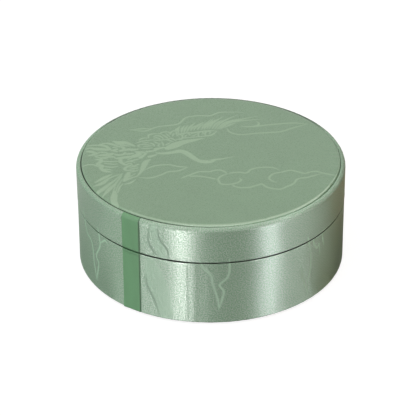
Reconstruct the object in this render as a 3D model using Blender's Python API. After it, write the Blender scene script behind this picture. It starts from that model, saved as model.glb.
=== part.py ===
"""Round silk-covered bangle box: a lift-off lid over a neck, and a cushion with a groove for one bangle.

Metres, +Z up, origin on the table at the middle of the underside. The box's front faces -Y.
The box is made the way a rigid covered box is made: thin boards, each wrapped in cloth, glued in layers.
Every layer stands GLUE_GAP away from the next, where the real one has its glue.
"""

import math

import bmesh
import bpy
from mathutils import Matrix, Vector

# Driving sizes of the whole box
BOX_RADIUS = 0.0500
BASE_HEIGHT = 0.0259
LID_HEIGHT = 0.0132
SEAM_GAP = 0.0004
GLUE_GAP = 0.0003

# Boards and cloths, by thickness
SIDE_BOARD = 0.0010
FLOOR_BOARD = 0.0015
TOP_BOARD = 0.0015
NECK_BOARD = 0.0014
CEILING_BOARD = 0.0008
SILK = 0.00035
VELVET = 0.0005
BOTTOM_COVER = 0.0004

# Side silk: how it turns over the edges
EDGE_ROUND = 0.0007
UNDER_TURN = 0.0080
BASE_TURN_IN = 0.0120
LID_TURN_IN = 0.0050
COVER_SETBACK = 0.0014

# Plain ribbon stripe down the side
RIBBON_WIDTH = 0.0076
RIBBON_PROUD = 0.00015
RIBBON_AZIMUTH = math.radians(-35.15)

# Padded disc on the lid
PAD_RISE = 0.0013
PAD_CROWN = 0.00025
PAD_ROLL = 0.0010
PAD_BOARD = 0.0009
PAD_FOAM = 0.0010

# Neck that the lid slides over
NECK_HEADROOM = 0.00075
NECK_CLEARANCE = 0.0003
NECK_ROUND = 0.0006

# Cushion that holds the bangle
CUSHION_SETBACK = 0.00475
RING_WIDTH = 0.00475
RING_ROUND = 0.0018
GROOVE_WIDTH = 0.0120
GROOVE_DEPTH = 0.0160
PLUG_PROUD = 0.0005
PLUG_ROUND = 0.0030
PLUG_CROWN = 0.0012
PLUG_DRAW_IN = 0.0004

FULL_TURN = 2.0 * math.pi
FRONT = -0.5 * math.pi
OUTER_STEPS = 64
INNER_STEPS = 48
CORNER_STEPS = 2
ROLL_STEPS = 3
CROWN_STEPS = 2
RIBBON_STEPS = 3
MERGE_DISTANCE = 0.000001
SMOOTH_ANGLE = math.radians(35.0)

# Side wall, from outside to inside
wall_inner_cloth_radius = BOX_RADIUS - SILK
board_outer_radius = wall_inner_cloth_radius - GLUE_GAP
board_inner_radius = board_outer_radius - SIDE_BOARD
lining_outer_radius = board_inner_radius - GLUE_GAP
lining_inner_radius = lining_outer_radius - SILK
neck_outer_radius = lining_inner_radius - NECK_CLEARANCE
neck_board_outer_radius = neck_outer_radius - SILK - GLUE_GAP
neck_board_inner_radius = neck_board_outer_radius - NECK_BOARD
neck_inner_radius = neck_board_inner_radius - GLUE_GAP - SILK
cushion_radius = neck_inner_radius - GLUE_GAP
groove_outer_radius = cushion_radius - RING_WIDTH
plug_radius = groove_outer_radius - GROOVE_WIDTH

# Levels of the base, upwards
base_silk_bottom = BOTTOM_COVER + GLUE_GAP
floor_bottom = base_silk_bottom + SILK + GLUE_GAP
floor_top = floor_bottom + FLOOR_BOARD
on_floor = floor_top + GLUE_GAP
base_board_top = BASE_HEIGHT - SILK - GLUE_GAP

# Levels of the lid, downwards from its top
lid_bottom = BASE_HEIGHT + SEAM_GAP
rim_top = lid_bottom + LID_HEIGHT
pad_top = rim_top + PAD_RISE
pad_edge_top = pad_top - PAD_CROWN
foam_top = pad_edge_top - SILK - GLUE_GAP
foam_bottom = foam_top - PAD_FOAM
pad_board_top = foam_bottom - GLUE_GAP
pad_board_bottom = pad_board_top - PAD_BOARD
top_board_top = pad_board_bottom - GLUE_GAP
top_board_bottom = top_board_top - TOP_BOARD
ceiling_board_top = top_board_bottom - GLUE_GAP
ceiling_board_bottom = ceiling_board_top - CEILING_BOARD
ceiling = ceiling_board_bottom - GLUE_GAP - SILK
lid_board_bottom = lid_bottom + SILK + GLUE_GAP
lid_board_top = rim_top - SILK - GLUE_GAP
pad_radius = lining_outer_radius
pad_board_radius = pad_radius - SILK - GLUE_GAP

# Levels of the neck and the cushion, downwards from the lid's ceiling
neck_top = ceiling - NECK_HEADROOM
neck_board_top = neck_top - SILK - GLUE_GAP
ring_top = neck_top - CUSHION_SETBACK
plug_top = ring_top + PLUG_PROUD
on_bed = ring_top - GROOVE_DEPTH
bed_velvet_top = on_bed - GLUE_GAP
bed_velvet_bottom = bed_velvet_top - VELVET
bed_top = bed_velvet_bottom - GLUE_GAP


def clear_scene():
    """Removes whatever the file holds before the box is modelled."""
    for obj in list(bpy.data.objects):
        bpy.data.objects.remove(obj, do_unlink=True)


def material(name, colour, roughness, metallic=0.0):
    """A Principled BSDF material of one colour."""
    made = bpy.data.materials.new(name)
    made.use_nodes = True
    shader = made.node_tree.nodes["Principled BSDF"]
    shader.inputs["Base Color"].default_value = (*colour, 1.0)
    shader.inputs["Roughness"].default_value = roughness
    shader.inputs["Metallic"].default_value = metallic
    made.diffuse_color = (*colour, 1.0)
    return made


def arc(centre, radius, start, end, steps):
    """Points (r, z) on a circle's arc in a section, from one angle to the other in degrees, both included."""
    angles = [math.radians(start + (end - start) * i / steps) for i in range(steps + 1)]
    return [
        (centre[0] + radius * math.cos(a), centre[1] + radius * math.sin(a))
        for a in angles
    ]


def dome(radius, edge_z, crown, steps):
    """Points (r, z) of a shallow parabolic dome from its edge in to the axis, without the edge point."""
    shares = [1.0 - (i + 1) / steps for i in range(steps)]
    return [(radius * share, edge_z + crown * (1.0 - share**2)) for share in shares]


def offset(path, distance):
    """The open path moved sideways by that distance, to the right of its direction, with mitred corners.

    An end on the axis stays on the axis.
    """
    points = [Vector(p) for p in path]
    rights = []
    for a, b in zip(points, points[1:]):
        along = (b - a).normalized()
        rights.append(Vector((along.y, -along.x)))
    moved = []
    for i, point in enumerate(points):
        before = rights[max(i - 1, 0)]
        after = rights[min(i, len(rights) - 1)]
        mitre = (before + after).normalized()
        shifted = point + mitre * (distance / mitre.dot(after))
        moved.append((0.0 if point.x == 0.0 else shifted.x, shifted.y))
    return moved


def cloth(path, thickness):
    """The section of a cloth: its outer face follows the path, and its body lies to the right of it."""
    return path + offset(path, thickness)[::-1]


def slab(inner_radius, outer_radius, bottom, top):
    """The section of a flat board, or of a straight ring where the inner radius isn't zero."""
    return [
        (inner_radius, top),
        (outer_radius, top),
        (outer_radius, bottom),
        (inner_radius, bottom),
    ]


def turned(name, section, finish, steps, start=0.0, sweep=FULL_TURN):
    """One closed solid, turned about the box's axis from a section of (r, z) points.

    A whole turn joins up with itself. A part turn keeps its section as a face at each end.
    """
    mesh = bmesh.new()
    verts = [mesh.verts.new((r, 0.0, z)) for r, z in section]
    whole = sweep == FULL_TURN
    solid_disc = section[0][0] == 0.0 and section[-1][0] == 0.0
    if whole:
        pairs = list(zip(verts, verts[1:]))
        if not solid_disc:
            pairs.append((verts[-1], verts[0]))
        geometry = verts + [mesh.edges.new(pair) for pair in pairs]
    else:
        face = mesh.faces.new(verts)
        geometry = [face, *face.edges, *verts]
    bmesh.ops.rotate(
        mesh, verts=verts, cent=(0.0, 0.0, 0.0), matrix=Matrix.Rotation(start, 3, "Z")
    )
    bmesh.ops.spin(
        mesh,
        geom=geometry,
        cent=(0.0, 0.0, 0.0),
        axis=(0.0, 0.0, 1.0),
        angle=sweep,
        steps=steps,
        use_merge=whole,
    )
    bmesh.ops.remove_doubles(mesh, verts=mesh.verts[:], dist=MERGE_DISTANCE)
    bmesh.ops.recalc_face_normals(mesh, faces=mesh.faces[:])
    data = bpy.data.meshes.new(name)
    mesh.to_mesh(data)
    mesh.free()
    data.shade_smooth()
    data.set_sharp_from_angle(angle=SMOOTH_ANGLE)
    data.materials.append(finish)
    obj = bpy.data.objects.new(name, data)
    bpy.context.scene.collection.objects.link(obj)
    return obj


def assembly(name, members):
    """An empty on the box's axis that carries the pieces which move together."""
    carrier = bpy.data.objects.new(name, None)
    bpy.context.scene.collection.objects.link(carrier)
    for member in members:
        member.parent = carrier
    return carrier


def outer_corners(radius, bottom, top):
    """The outer face of a side wall from its rounded top corner down to its rounded bottom corner."""
    corner = radius - EDGE_ROUND
    return [
        *arc((corner, top - EDGE_ROUND), EDGE_ROUND, 90.0, 0.0, CORNER_STEPS),
        *arc((corner, bottom + EDGE_ROUND), EDGE_ROUND, 0.0, -90.0, CORNER_STEPS),
    ]


def lid_side_path(radius):
    """Outer face of the lid's side cloth: over the rim, down the wall, round its lower edge and up inside."""
    return [
        (board_inner_radius, rim_top),
        *outer_corners(radius, lid_bottom, rim_top),
        (lining_inner_radius, lid_bottom),
        (lining_inner_radius, lid_bottom + LID_TURN_IN),
    ]


def base_side_path(radius):
    """Outer face of the base's side cloth: up inside, over the top edge, down the wall and in underneath."""
    return [
        (lining_inner_radius, BASE_HEIGHT - BASE_TURN_IN),
        (lining_inner_radius, BASE_HEIGHT),
        *outer_corners(radius, base_silk_bottom, BASE_HEIGHT),
        (BOX_RADIUS - UNDER_TURN, base_silk_bottom),
    ]


def side_cloths(prefix, side_path, silk, ribbon):
    """The figured silk round the wall, and the plain ribbon that fills the gap between the silk's two ends.

    The ribbon's outer face stands a little proud of the silk.
    """
    ribbon_angle = RIBBON_WIDTH / BOX_RADIUS
    gap_angle = GLUE_GAP / BOX_RADIUS
    ribbon_start = FRONT + RIBBON_AZIMUTH - ribbon_angle / 2.0
    silk_start = ribbon_start + ribbon_angle + gap_angle
    silk_sweep = FULL_TURN - ribbon_angle - gap_angle * 2.0
    silk_section = cloth(side_path(BOX_RADIUS), SILK)
    ribbon_section = cloth(side_path(BOX_RADIUS + RIBBON_PROUD), SILK)
    return [
        turned(
            prefix + "_side_silk",
            silk_section,
            silk,
            OUTER_STEPS,
            silk_start,
            silk_sweep,
        ),
        turned(
            prefix + "_ribbon",
            ribbon_section,
            ribbon,
            RIBBON_STEPS,
            ribbon_start,
            ribbon_angle,
        ),
    ]


def base_shell(board, silk, ribbon, paper):
    """Floor, wall, side cloths and the paper under the base."""
    cover_radius = BOX_RADIUS - COVER_SETBACK
    return [
        turned(
            "base_bottom_cover",
            slab(0.0, cover_radius, 0.0, BOTTOM_COVER),
            paper,
            INNER_STEPS,
        ),
        turned(
            "base_floor_board",
            slab(0.0, board_outer_radius, floor_bottom, floor_top),
            board,
            INNER_STEPS,
        ),
        turned(
            "base_side_board",
            slab(board_inner_radius, board_outer_radius, on_floor, base_board_top),
            board,
            INNER_STEPS,
        ),
        *side_cloths("base", base_side_path, silk, ribbon),
    ]


def neck(board, satin):
    """The collar that stands up out of the base and guides the lid, with satin over its top edge."""
    outer_corner = neck_outer_radius - NECK_ROUND
    inner_corner = neck_inner_radius + NECK_ROUND
    corner_z = neck_top - NECK_ROUND
    path = [
        (neck_inner_radius, on_floor),
        *arc((inner_corner, corner_z), NECK_ROUND, 180.0, 90.0, CORNER_STEPS),
        *arc((outer_corner, corner_z), NECK_ROUND, 90.0, 0.0, CORNER_STEPS),
        (neck_outer_radius, on_floor),
    ]
    return [
        turned(
            "neck_board",
            slab(
                neck_board_inner_radius,
                neck_board_outer_radius,
                on_floor,
                neck_board_top,
            ),
            board,
            INNER_STEPS,
        ),
        turned("neck_satin", cloth(path, SILK), satin, INNER_STEPS),
    ]


def cushion_bed(foam, velvet):
    """The foam block on the floor and the velvet at the bottom of the groove."""
    return [
        turned(
            "bed_foam",
            slab(0.0, cushion_radius, on_floor, bed_top),
            foam,
            INNER_STEPS,
        ),
        turned(
            "bed_velvet",
            slab(0.0, cushion_radius, bed_velvet_bottom, bed_velvet_top),
            velvet,
            INNER_STEPS,
        ),
    ]


def cushion_ring(foam, velvet):
    """The ring cushion outside the groove, with a rounded top."""
    inner_corner = groove_outer_radius + RING_ROUND
    outer_corner = cushion_radius - RING_ROUND
    corner_z = ring_top - RING_ROUND
    path = [
        (groove_outer_radius, on_bed),
        *arc((inner_corner, corner_z), RING_ROUND, 180.0, 90.0, ROLL_STEPS),
        *arc((outer_corner, corner_z), RING_ROUND, 90.0, 0.0, ROLL_STEPS),
        (cushion_radius, on_bed),
    ]
    return [
        turned("ring_velvet", cloth(path, VELVET), velvet, INNER_STEPS),
        turned("ring_foam", offset(path, VELVET + GLUE_GAP), foam, INNER_STEPS),
    ]


def cushion_plug(foam, velvet):
    """The round cushion inside the bangle, with drawn-in sides and a crowned top."""
    top_radius = plug_radius - PLUG_DRAW_IN
    corner_radius = top_radius - PLUG_ROUND
    edge_z = plug_top - PLUG_CROWN
    path = [
        (plug_radius, on_bed),
        *arc((corner_radius, edge_z - PLUG_ROUND), PLUG_ROUND, 0.0, 90.0, ROLL_STEPS),
        *dome(corner_radius, edge_z, PLUG_CROWN, CROWN_STEPS),
    ]
    outward = path[::-1]
    foam_path = offset(outward, VELVET + GLUE_GAP)
    return [
        turned("plug_velvet", cloth(outward, VELVET), velvet, INNER_STEPS),
        turned("plug_foam", [*foam_path, (0.0, on_bed)], foam, INNER_STEPS),
    ]


def lid_shell(board, silk, ribbon, satin):
    """Wall, top board, side cloths and the linings inside the lid."""
    ceiling_radius = lining_inner_radius - GLUE_GAP
    ceiling_path = [
        (ceiling_radius, ceiling_board_top),
        *arc(
            (ceiling_radius - NECK_ROUND, ceiling + NECK_ROUND),
            NECK_ROUND,
            0.0,
            -90.0,
            CORNER_STEPS,
        ),
        (0.0, ceiling),
    ]
    return [
        turned(
            "lid_side_board",
            slab(board_inner_radius, board_outer_radius, lid_board_bottom, lid_board_top),
            board,
            INNER_STEPS,
        ),
        turned(
            "lid_top_board",
            slab(0.0, lining_outer_radius, top_board_bottom, top_board_top),
            board,
            INNER_STEPS,
        ),
        *side_cloths("lid", lid_side_path, silk, ribbon),
        turned(
            "lid_wall_lining",
            slab(
                lining_inner_radius,
                lining_outer_radius,
                lid_bottom + LID_TURN_IN + GLUE_GAP,
                ceiling_board_top,
            ),
            satin,
            INNER_STEPS,
        ),
        turned(
            "lid_ceiling_board",
            slab(
                0.0,
                ceiling_radius - SILK - GLUE_GAP,
                ceiling_board_bottom,
                ceiling_board_top,
            ),
            board,
            INNER_STEPS,
        ),
        turned("lid_ceiling_satin", cloth(ceiling_path, SILK), satin, INNER_STEPS),
    ]


def lid_pad(board, foam, silk):
    """The padded disc set into the lid's rim, covered in the figured silk."""
    roll_centre = (pad_radius - PAD_ROLL, pad_edge_top - PAD_ROLL)
    path = [
        *dome(roll_centre[0], pad_edge_top, PAD_CROWN, CROWN_STEPS)[::-1],
        *arc(roll_centre, PAD_ROLL, 90.0, 0.0, ROLL_STEPS),
        (pad_radius, pad_board_bottom),
    ]
    foam_face = [
        point for point in offset(path, SILK + GLUE_GAP) if point[1] > foam_bottom
    ]
    foam_section = [*foam_face, (pad_board_radius, foam_bottom), (0.0, foam_bottom)]
    return [
        turned(
            "pad_board",
            slab(0.0, pad_board_radius, pad_board_bottom, pad_board_top),
            board,
            INNER_STEPS,
        ),
        turned("pad_foam", foam_section, foam, INNER_STEPS),
        turned("pad_silk", cloth(path, SILK), silk, OUTER_STEPS),
    ]


def build():
    """Models the whole box at rest, closed."""
    clear_scene()
    board = material("greyboard", (0.36, 0.34, 0.30), 0.9)
    silk = material("figured_silk", (0.26, 0.37, 0.25), 0.42)
    ribbon = material("plain_ribbon", (0.15, 0.31, 0.17), 0.5)
    satin = material("lining_satin", (0.12, 0.24, 0.15), 0.45)
    velvet = material("ivory_velvet", (0.78, 0.74, 0.64), 0.95)
    foam = material("foam", (0.85, 0.84, 0.80), 0.95)
    paper = material("bottom_paper", (0.05, 0.07, 0.06), 0.8)
    assembly(
        "base",
        [
            *base_shell(board, silk, ribbon, paper),
            *neck(board, satin),
            *cushion_bed(foam, velvet),
            *cushion_ring(foam, velvet),
            *cushion_plug(foam, velvet),
        ],
    )
    assembly(
        "lid",
        [
            *lid_shell(board, silk, ribbon, satin),
            *lid_pad(board, foam, silk),
        ],
    )


build()
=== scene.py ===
"""Looks of a round silk-covered bangle box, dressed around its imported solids.

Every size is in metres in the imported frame: +Z up, the front towards -Y. Azimuths are measured from
the front towards +X. Patterns are drawn in millimetres and laid on the cloth at full size.
"""

import logging
import math
from collections.abc import Callable, Sequence
from dataclasses import dataclass, field
from enum import Enum
from functools import cached_property

import bpy
import numpy as np
from mathutils import Matrix, Vector

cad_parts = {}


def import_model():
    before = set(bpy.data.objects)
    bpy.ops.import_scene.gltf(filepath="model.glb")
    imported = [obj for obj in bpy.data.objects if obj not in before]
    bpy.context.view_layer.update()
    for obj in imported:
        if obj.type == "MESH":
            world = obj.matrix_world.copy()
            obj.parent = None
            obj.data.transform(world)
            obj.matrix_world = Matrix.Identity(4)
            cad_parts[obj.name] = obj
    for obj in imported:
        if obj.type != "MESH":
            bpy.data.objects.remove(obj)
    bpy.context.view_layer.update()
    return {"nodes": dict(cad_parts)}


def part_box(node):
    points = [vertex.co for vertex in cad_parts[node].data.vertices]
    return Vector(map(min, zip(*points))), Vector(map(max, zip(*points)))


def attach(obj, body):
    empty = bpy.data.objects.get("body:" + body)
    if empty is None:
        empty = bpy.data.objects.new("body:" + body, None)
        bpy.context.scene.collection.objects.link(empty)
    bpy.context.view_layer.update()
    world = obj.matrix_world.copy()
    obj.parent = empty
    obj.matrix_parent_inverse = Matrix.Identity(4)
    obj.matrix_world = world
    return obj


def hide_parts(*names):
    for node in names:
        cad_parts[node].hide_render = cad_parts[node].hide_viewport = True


LOG = logging.getLogger("bangle_box")
MM = 0.001
FULL_TURN = 2.0 * math.pi
CLOTH_UV = "cloth"
# Marks on the meshes that the materials read. The figure's mark also carries painted shade on the
# ribbon's edges and ends, and a painted highlight on the padded disc's crest.
FIGURE_AND_PAINTED_LIGHT = "figure"
# This mark dulls the silk up to a half and from there darkens it with painted shade.
DULL_AND_PAINTED_SHADE = "dulled_and_painted_shade"

# Steps of a woven stroke between two of its points.
CURVE_STEPS = 7
# How far past a stroke its distance is worked out, and what stands for farther, in mm.
STROKE_REACH = 1.2
FADED_OUT = 1.0

Array = np.ndarray
Material = bpy.types.Material
Object = bpy.types.Object
Pair = tuple[float, float]
Point = Pair
Triple = tuple[float, float, float]
Colour = Triple
Field = Callable[[Array, Array], Array]
Depth = Callable[[Array, Array, Array], Array]
Moves = tuple[Array, Array]
Nudge = Callable[[Array, Array, Array], Moves]
Section = Callable[[float], list[Point]]
Shades = tuple[object, float, float]
Socket = bpy.types.NodeSocket


class Body(Enum):
    """The box's two moving bodies."""

    BASE = "base"
    LID = "lid"


class Hold(Enum):
    """How a sheet of cloth is held."""

    STRETCHED = "stretched"


# Sections and curves


def arc(centre: Point, radius: float, start: float, end: float, steps: int) -> list[Point]:
    """Points on a circle's arc in a section.

    Args:
        centre: Middle of the circle, as (r, z).
        radius: Its radius.
        start: First angle in degrees, 0 pointing outward and 90 up.
        end: Last angle in degrees.
        steps: How many equal steps lie between them.

    Returns:
        The points, both ends included.
    """
    angles = np.radians(np.linspace(start, end, steps + 1))
    return [(centre[0] + radius * math.cos(a), centre[1] + radius * math.sin(a)) for a in angles]


def roll_over(start: Point, reach: float, drop: float, steps: int) -> list[Point]:
    """A quarter ellipse in a section, from level to straight down.

    Args:
        start: Where it begins, as (r, z).
        reach: How far it goes outward.
        drop: How far it goes down.
        steps: How many steps it has.

    Returns:
        The points, both ends included.
    """
    return [
        (start[0] + reach * r, start[1] - drop * (1.0 - z))
        for r, z in arc((0.0, 0.0), 1.0, 90.0, 0.0, steps)
    ]


def run(path: Sequence[Point], spacing: float) -> list[Point]:
    """The same path with its long straight stretches divided.

    Args:
        path: Points of the path.
        spacing: The longest distance that stays undivided.

    Returns:
        The points of the divided path.
    """
    points = [path[0]]
    for a, b in zip(path, path[1:]):
        count = max(1, math.ceil(math.dist(a, b) / spacing - 1e-6))
        points += [
            (a[0] + (b[0] - a[0]) * i / count, a[1] + (b[1] - a[1]) * i / count)
            for i in range(1, count + 1)
        ]
    return points


def offset(path: Sequence[Point], distance: float) -> list[Point]:
    """The open path moved to the right of its direction, with mitred corners.

    Args:
        path: Points of the path.
        distance: How far it is moved.

    Returns:
        The moved points. A point on the axis stays there.
    """
    points = [Vector(p) for p in path]
    rights = []
    for a, b in zip(points, points[1:]):
        along = (b - a).normalized()
        rights.append(Vector((along.y, -along.x)))
    moved = []
    for i, point in enumerate(points):
        before, after = rights[max(i - 1, 0)], rights[min(i, len(rights) - 1)]
        mitre = (before + after).normalized()
        shifted = point + mitre * (distance / mitre.dot(after))
        moved.append((0.0 if point.x == 0.0 else shifted.x, shifted.y))
    return moved


def smooth_curve(points: Array, steps: int) -> Array:
    """A smooth curve through rows of numbers.

    Args:
        points: One row for each point that the curve passes.
        steps: Steps between two neighbouring points.

    Returns:
        One row for each point of the curve, ends included.
    """
    padded = np.vstack([2 * points[0] - points[1], points, 2 * points[-1] - points[-2]])
    t = np.linspace(0.0, 1.0, steps, endpoint=False)[:, None]
    pieces = []
    for p0, p1, p2, p3 in zip(padded, padded[1:], padded[2:], padded[3:]):
        bend, twist = 2 * p0 - 5 * p1 + 4 * p2 - p3, 3 * p1 - p0 - 3 * p2 + p3
        pieces.append(0.5 * (2 * p1 + (p2 - p0) * t + bend * t**2 + twist * t**3))
    return np.vstack([*pieces, points[-1]])


def ease(x: Array, low: float, high: float) -> Array:
    """A smooth rise from 0 at low to 1 at high."""
    t = np.clip((x - low) / (high - low), 0.0, 1.0)
    return t * t * (3.0 - 2.0 * t)


# Woven figures


@dataclass(frozen=True)
class Stroke:
    """One line or leaf of a woven figure, in millimetres.

    Attributes:
        points: Points that its middle line passes.
        widths: Its width at each of them.
    """

    points: tuple[Point, ...]
    widths: tuple[float, ...]

    def gap(self, x: Array, y: Array) -> Array:
        """Distance from points to the stroke's edge, less than 0 inside it.

        Args:
            x: First coordinates.
            y: Second coordinates.

        Returns:
            The distances.
        """
        rows = smooth_curve(np.column_stack([self.points, self.widths]), CURVE_STEPS)
        least = np.full(x.shape, np.inf)
        for a, b in zip(rows, rows[1:]):
            along = b[:2] - a[:2]
            square = max(float(along @ along), np.finfo(float).tiny)
            t = np.clip(((x - a[0]) * along[0] + (y - a[1]) * along[1]) / square, 0.0, 1.0)
            away = np.hypot(x - a[0] - along[0] * t, y - a[1] - along[1] * t)
            np.minimum(least, away - (a[2] + (b[2] - a[2]) * t) / 2.0, out=least)
        return least


def line(points: Sequence[Point], width: float, tip: float = 0.12) -> Stroke:
    """A drawn line of even width with thin ends.

    Args:
        points: Points that it passes.
        width: Its width.
        tip: Its width at both ends.

    Returns:
        The stroke.
    """
    widths = [width] * len(points)
    widths[0] = widths[-1] = tip
    return Stroke(tuple(points), tuple(widths))


@dataclass
class Figure:
    """A woven figure made of strokes.

    Attributes:
        strokes: Its lines and leaves.
        holes: Strokes cut out of them.
        washes: Broad strokes where figure and ground are woven mixed.
        softness: Width over which an edge fades, in millimetres.
        wash_softness: The same for the washes.
        mixture: Share of the figure's threads in the washes.
    """

    strokes: list[Stroke] = field(default_factory=list)
    holes: list[Stroke] = field(default_factory=list)
    washes: list[Stroke] = field(default_factory=list)
    softness: float = 0.26
    wash_softness: float = 1.0
    mixture: float = 0.42

    def least(self, strokes: Sequence[Stroke], x: Array, y: Array) -> Array:
        """Least distance from points to the edges of some strokes.

        Args:
            strokes: The strokes.
            x: First coordinates in millimetres.
            y: Second coordinates.

        Returns:
            The distances, FADED_OUT where no stroke is near.
        """
        found = np.full(x.shape, FADED_OUT)
        for stroke in strokes:
            reach = max(stroke.widths) / 2.0 + STROKE_REACH
            at = np.array(stroke.points)
            low, high = at.min(0) - reach, at.max(0) + reach
            near = (x > low[0]) & (x < high[0]) & (y > low[1]) & (y < high[1])
            found[near] = np.minimum(found[near], stroke.gap(x[near], y[near]))
        return found

    def cover(self, x: Array, y: Array) -> Array:
        """How far the figure's threads cover points.

        Args:
            x: First coordinates in metres.
            y: Second coordinates in metres.

        Returns:
            0 on the ground of the cloth to 1 on the figure.
        """
        x, y = x / MM, y / MM
        edge = self.least(self.strokes, x, y)
        if self.holes:
            edge = np.maximum(edge, -self.least(self.holes, x, y))
        found = np.clip(0.5 - edge / self.softness, 0.0, 1.0)
        if self.washes:
            edge = self.least(self.washes, x, y)
            mixed = np.clip(0.5 - edge / self.wash_softness, 0.0, 1.0)
            found = np.maximum(found, self.mixture * mixed)
        return found


# Places on the lid's disc in millimetres: x to the right, y away from the front.
LineTable = tuple[tuple[Point, ...], ...]
FAR_FEATHERS: LineTable = (
    ((-12.1, 20.1), (-12.4, 22.5), (-11.6, 25.4)),
    ((-11.0, 19.9), (-10.8, 23.0), (-9.8, 25.7)),
    ((-10.0, 20.2), (-9.5, 23.2), (-8.6, 25.9)),
    ((-9.0, 20.6), (-7.8, 24.4), (-5.7, 28.0)),
    ((-7.5, 21.6), (-6.8, 23.9), (-5.1, 26.3)),
    ((-6.4, 21.8), (-4.9, 25.5), (-2.1, 28.7)),
    ((-4.9, 22.2), (-4.0, 24.9), (-2.4, 27.3)),
    ((-3.4, 22.4), (-2.3, 25.8), (0.4, 30.8)),
    ((-2.4, 22.6), (-1.5, 25.5), (1.5, 31.5)),
    ((-1.3, 22.9), (-0.2, 27.0), (2.1, 30.5)),
    ((-0.4, 23.0), (1.1, 27.8), (4.9, 32.7)),
    ((0.6, 22.9), (2.2, 27.0), (4.6, 30.1)),
    ((1.6, 22.7), (4.2, 28.2), (10.5, 34.3)),
    ((2.5, 22.9), (5.7, 27.8), (11.6, 31.4)),
    ((3.1, 22.7), (7.5, 28.3), (18.2, 33.1)),
    ((3.9, 22.7), (8.3, 28.3), (20.6, 30.8)),
    ((5.4, 23.9), (7.5, 26.1), (10.1, 27.8)),
)
StrokeTable = tuple[tuple[tuple[Point, ...], tuple[float, ...]], ...]
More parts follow.
